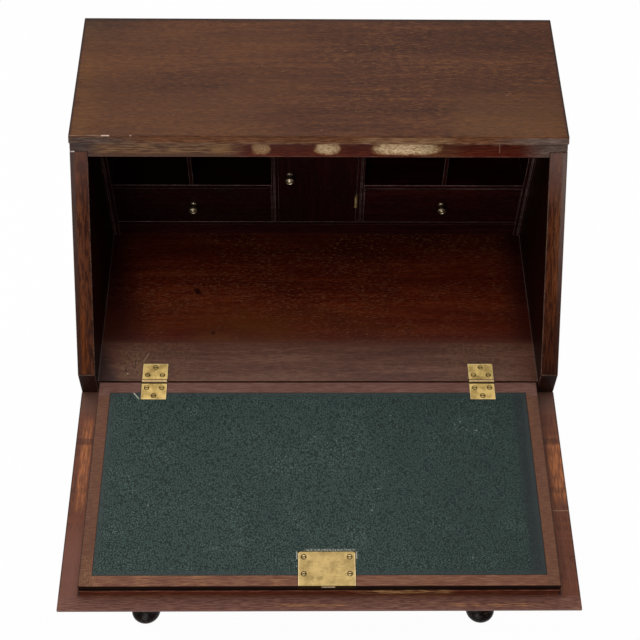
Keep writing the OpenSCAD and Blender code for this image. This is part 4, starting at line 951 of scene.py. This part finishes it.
def turnedKnob(head):
    deselectAll()
    rings = knob["rings"]
    bpy.ops.mesh.primitive_circle_add(vertices=knob["sides"], radius=rings[0][0] * head,
                                      fill_type="NGON")
    piece = bpy.context.object
    setMode("EDIT")
    bpy.ops.mesh.select_all(action="SELECT")
    for (r0, z0), (r1, z1) in zip(rings, rings[1:]):
        bpy.ops.mesh.extrude_region_move(TRANSFORM_OT_translate={"value": (0.0, 0.0, (z1 - z0) * head)})
        bpy.ops.transform.resize(value=(r1 / r0, r1 / r0, 1.0), center_override=(0.0, 0.0, z1 * head))
    bpy.ops.mesh.select_all(action="SELECT")
    bpy.ops.mesh.normals_make_consistent(inside=False)
    setMode("OBJECT")
    return piece


def placedCopy(pattern, foot):
    piece = pattern.copy()
    piece.data = pattern.data.copy()
    scene.collection.objects.link(piece)
    takeUp(piece)
    piece.rotation_euler = (math.radians(90), 0.0, 0.0)
    piece.location = foot
    bpy.ops.object.transform_apply(location=True, rotation=True, scale=True)
    return piece


def joined(pieces, name):
    deselectAll()
    for piece in pieces:
        piece.select_set(True)
    bpy.context.view_layer.objects.active = pieces[0]
    if len(pieces) > 1:
        bpy.ops.object.join()
    pieces[0].name = name
    return pieces[0]


patterns = {head: turnedKnob(head) for head in sorted(set(headRadii.values()))}
for node, head in headRadii.items():
    low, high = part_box(node)
    footY, middleZ = low.y + knob["length"] * head, (low.z + high.z) / 2
    spots = [low.x + head, high.x - head] if high.x - low.x > 3 * head else [(low.x + high.x) / 2]
    turned = joined([placedCopy(patterns[head], (x, footY, middleZ)) for x in spots], camel(node))
    turned.data.materials.append(knobBrass)
    finished(turned, node, easing["roundSmooth"])
for pattern in patterns.values():
    bpy.data.objects.remove(pattern)
print("knobs turned:", len(headRadii))

# cabriole legs
for node in ("leg_front_left", "leg_front_right", "leg_back_left", "leg_back_right"):
    leg = copied(node, legWood)
    quads = math.radians(easing["legQuads"])
    bpy.ops.mesh.tris_convert_to_quads(face_threshold=quads, shape_threshold=quads)
    setMode("OBJECT")
    finished(leg, node, easing["roundSmooth"])
print("legs smoothed")

# a white floor that glows for the camera and in reflections, as the photograph's white ground does
studio = {"floorSize": 14.0, "paper": 0.92, "glow": 0.97, "air": 0.16, "white": (1.0, 1.0, 1.0)}
deselectAll()
bpy.ops.mesh.primitive_plane_add(size=studio["floorSize"], location=(0.0, 0.0, 0.0))
floor = bpy.context.object
floor.name = "studioFloor"
floorMaterial = bpy.data.materials.new("studioFloorPaper")
floorMaterial.use_nodes = True
floorMaterial.node_tree.nodes.clear()
ray = Wire(floorMaterial.node_tree).make("ShaderNodeLightPath")
rays = {wire.socket.name: wire for wire in ray.outlets()}
seen = greatest(*(rays[kind] for kind in ("Is Camera Ray", "Is Glossy Ray", "Is Transmission Ray")))
paper = ray.make("ShaderNodeBsdfDiffuse", {}, {"Color": rgba((studio["paper"],) * 3)})
glow = ray.make("ShaderNodeEmission", {}, {"Color": rgba(studio["white"]), "Strength": 1.0})
mixed = ray.make("ShaderNodeMixShader", {}, {0: seen * studio["glow"], 1: paper, 2: glow})
ray.make("ShaderNodeOutputMaterial", {}, {"Surface": mixed})
floor.data.materials.append(floorMaterial)

world = bpy.data.worlds.new("studioAir")
scene.world = world
world.use_nodes = True
world.node_tree.nodes.clear()
ray = Wire(world.node_tree).make("ShaderNodeLightPath", output="Is Camera Ray")
white = rgba(studio["white"])
air, backdrop = (ray.make("ShaderNodeBackground", {}, {"Color": white, "Strength": strength})
                 for strength in (studio["air"], 1.0))
mixed = ray.make("ShaderNodeMixShader", {}, {0: ray, 1: air, 2: backdrop})
ray.make("ShaderNodeOutputWorld", {}, {"Surface": mixed})

lamps = {
    "keyBox": {"at": (-0.30, 1.35, 3.20), "aim": (0.0, 0.0, 0.80), "size": 3.2, "watts": 74.0},
    "frontFill": {"at": (-0.8, -3.0, 2.0), "aim": (0.0, 0.0, 0.70), "size": 2.2, "watts": 50.0},
    "leftFill": {"at": (-3.0, 0.4, 1.6), "aim": (0.0, 0.0, 0.60), "size": 2.0, "watts": 14.0},
    "rightFill": {"at": (3.0, 0.4, 1.6), "aim": (0.0, 0.0, 0.60), "size": 2.0, "watts": 14.0}}
for name, lamp in lamps.items():
    deselectAll()
    bpy.ops.object.light_add(type="AREA", location=lamp["at"])
    light = bpy.context.object
    light.name = name
    light.data.energy = lamp["watts"]
    light.data.size = lamp["size"]
    towards = Vector(lamp["aim"]) - Vector(lamp["at"])
    light.rotation_euler = towards.to_track_quat("-Z", "Y").to_euler()
print("studio lit")

# the camera stands where the photograph was taken from, found from some thirty points of it
view = {"yaw": 1.491, "pitch": 54.367, "roll": 1.249, "focalPixels": 1298.3, "widthPixels": 640.0,
        "sensor": 36.0, "at": (-0.0232, hingeY - 0.9077, writingZ + 1.4021)}
yaw, pitch, roll = (math.radians(view[k]) for k in ("yaw", "pitch", "roll"))
forward = Vector((math.sin(yaw) * math.cos(pitch), math.cos(yaw) * math.cos(pitch), -math.sin(pitch)))
level = Vector((math.cos(yaw), -math.sin(yaw), 0.0))
upward = level.cross(forward)
right = math.cos(roll) * level + math.sin(roll) * upward
above = math.cos(roll) * upward - math.sin(roll) * level
deselectAll()
bpy.ops.object.camera_add(location=view["at"])
camera = bpy.context.object
camera.name = "photographCamera"
aimed = Matrix((right, above, -forward)).transposed().to_4x4()
camera.matrix_world = Matrix.Translation(view["at"]) @ aimed
camera.data.sensor_width = view["sensor"]
camera.data.lens = view["focalPixels"] * view["sensor"] / view["widthPixels"]
camera.data.clip_end = 100.0
scene.camera = camera

scene.view_settings.view_transform = "Standard"
print("scene ready")
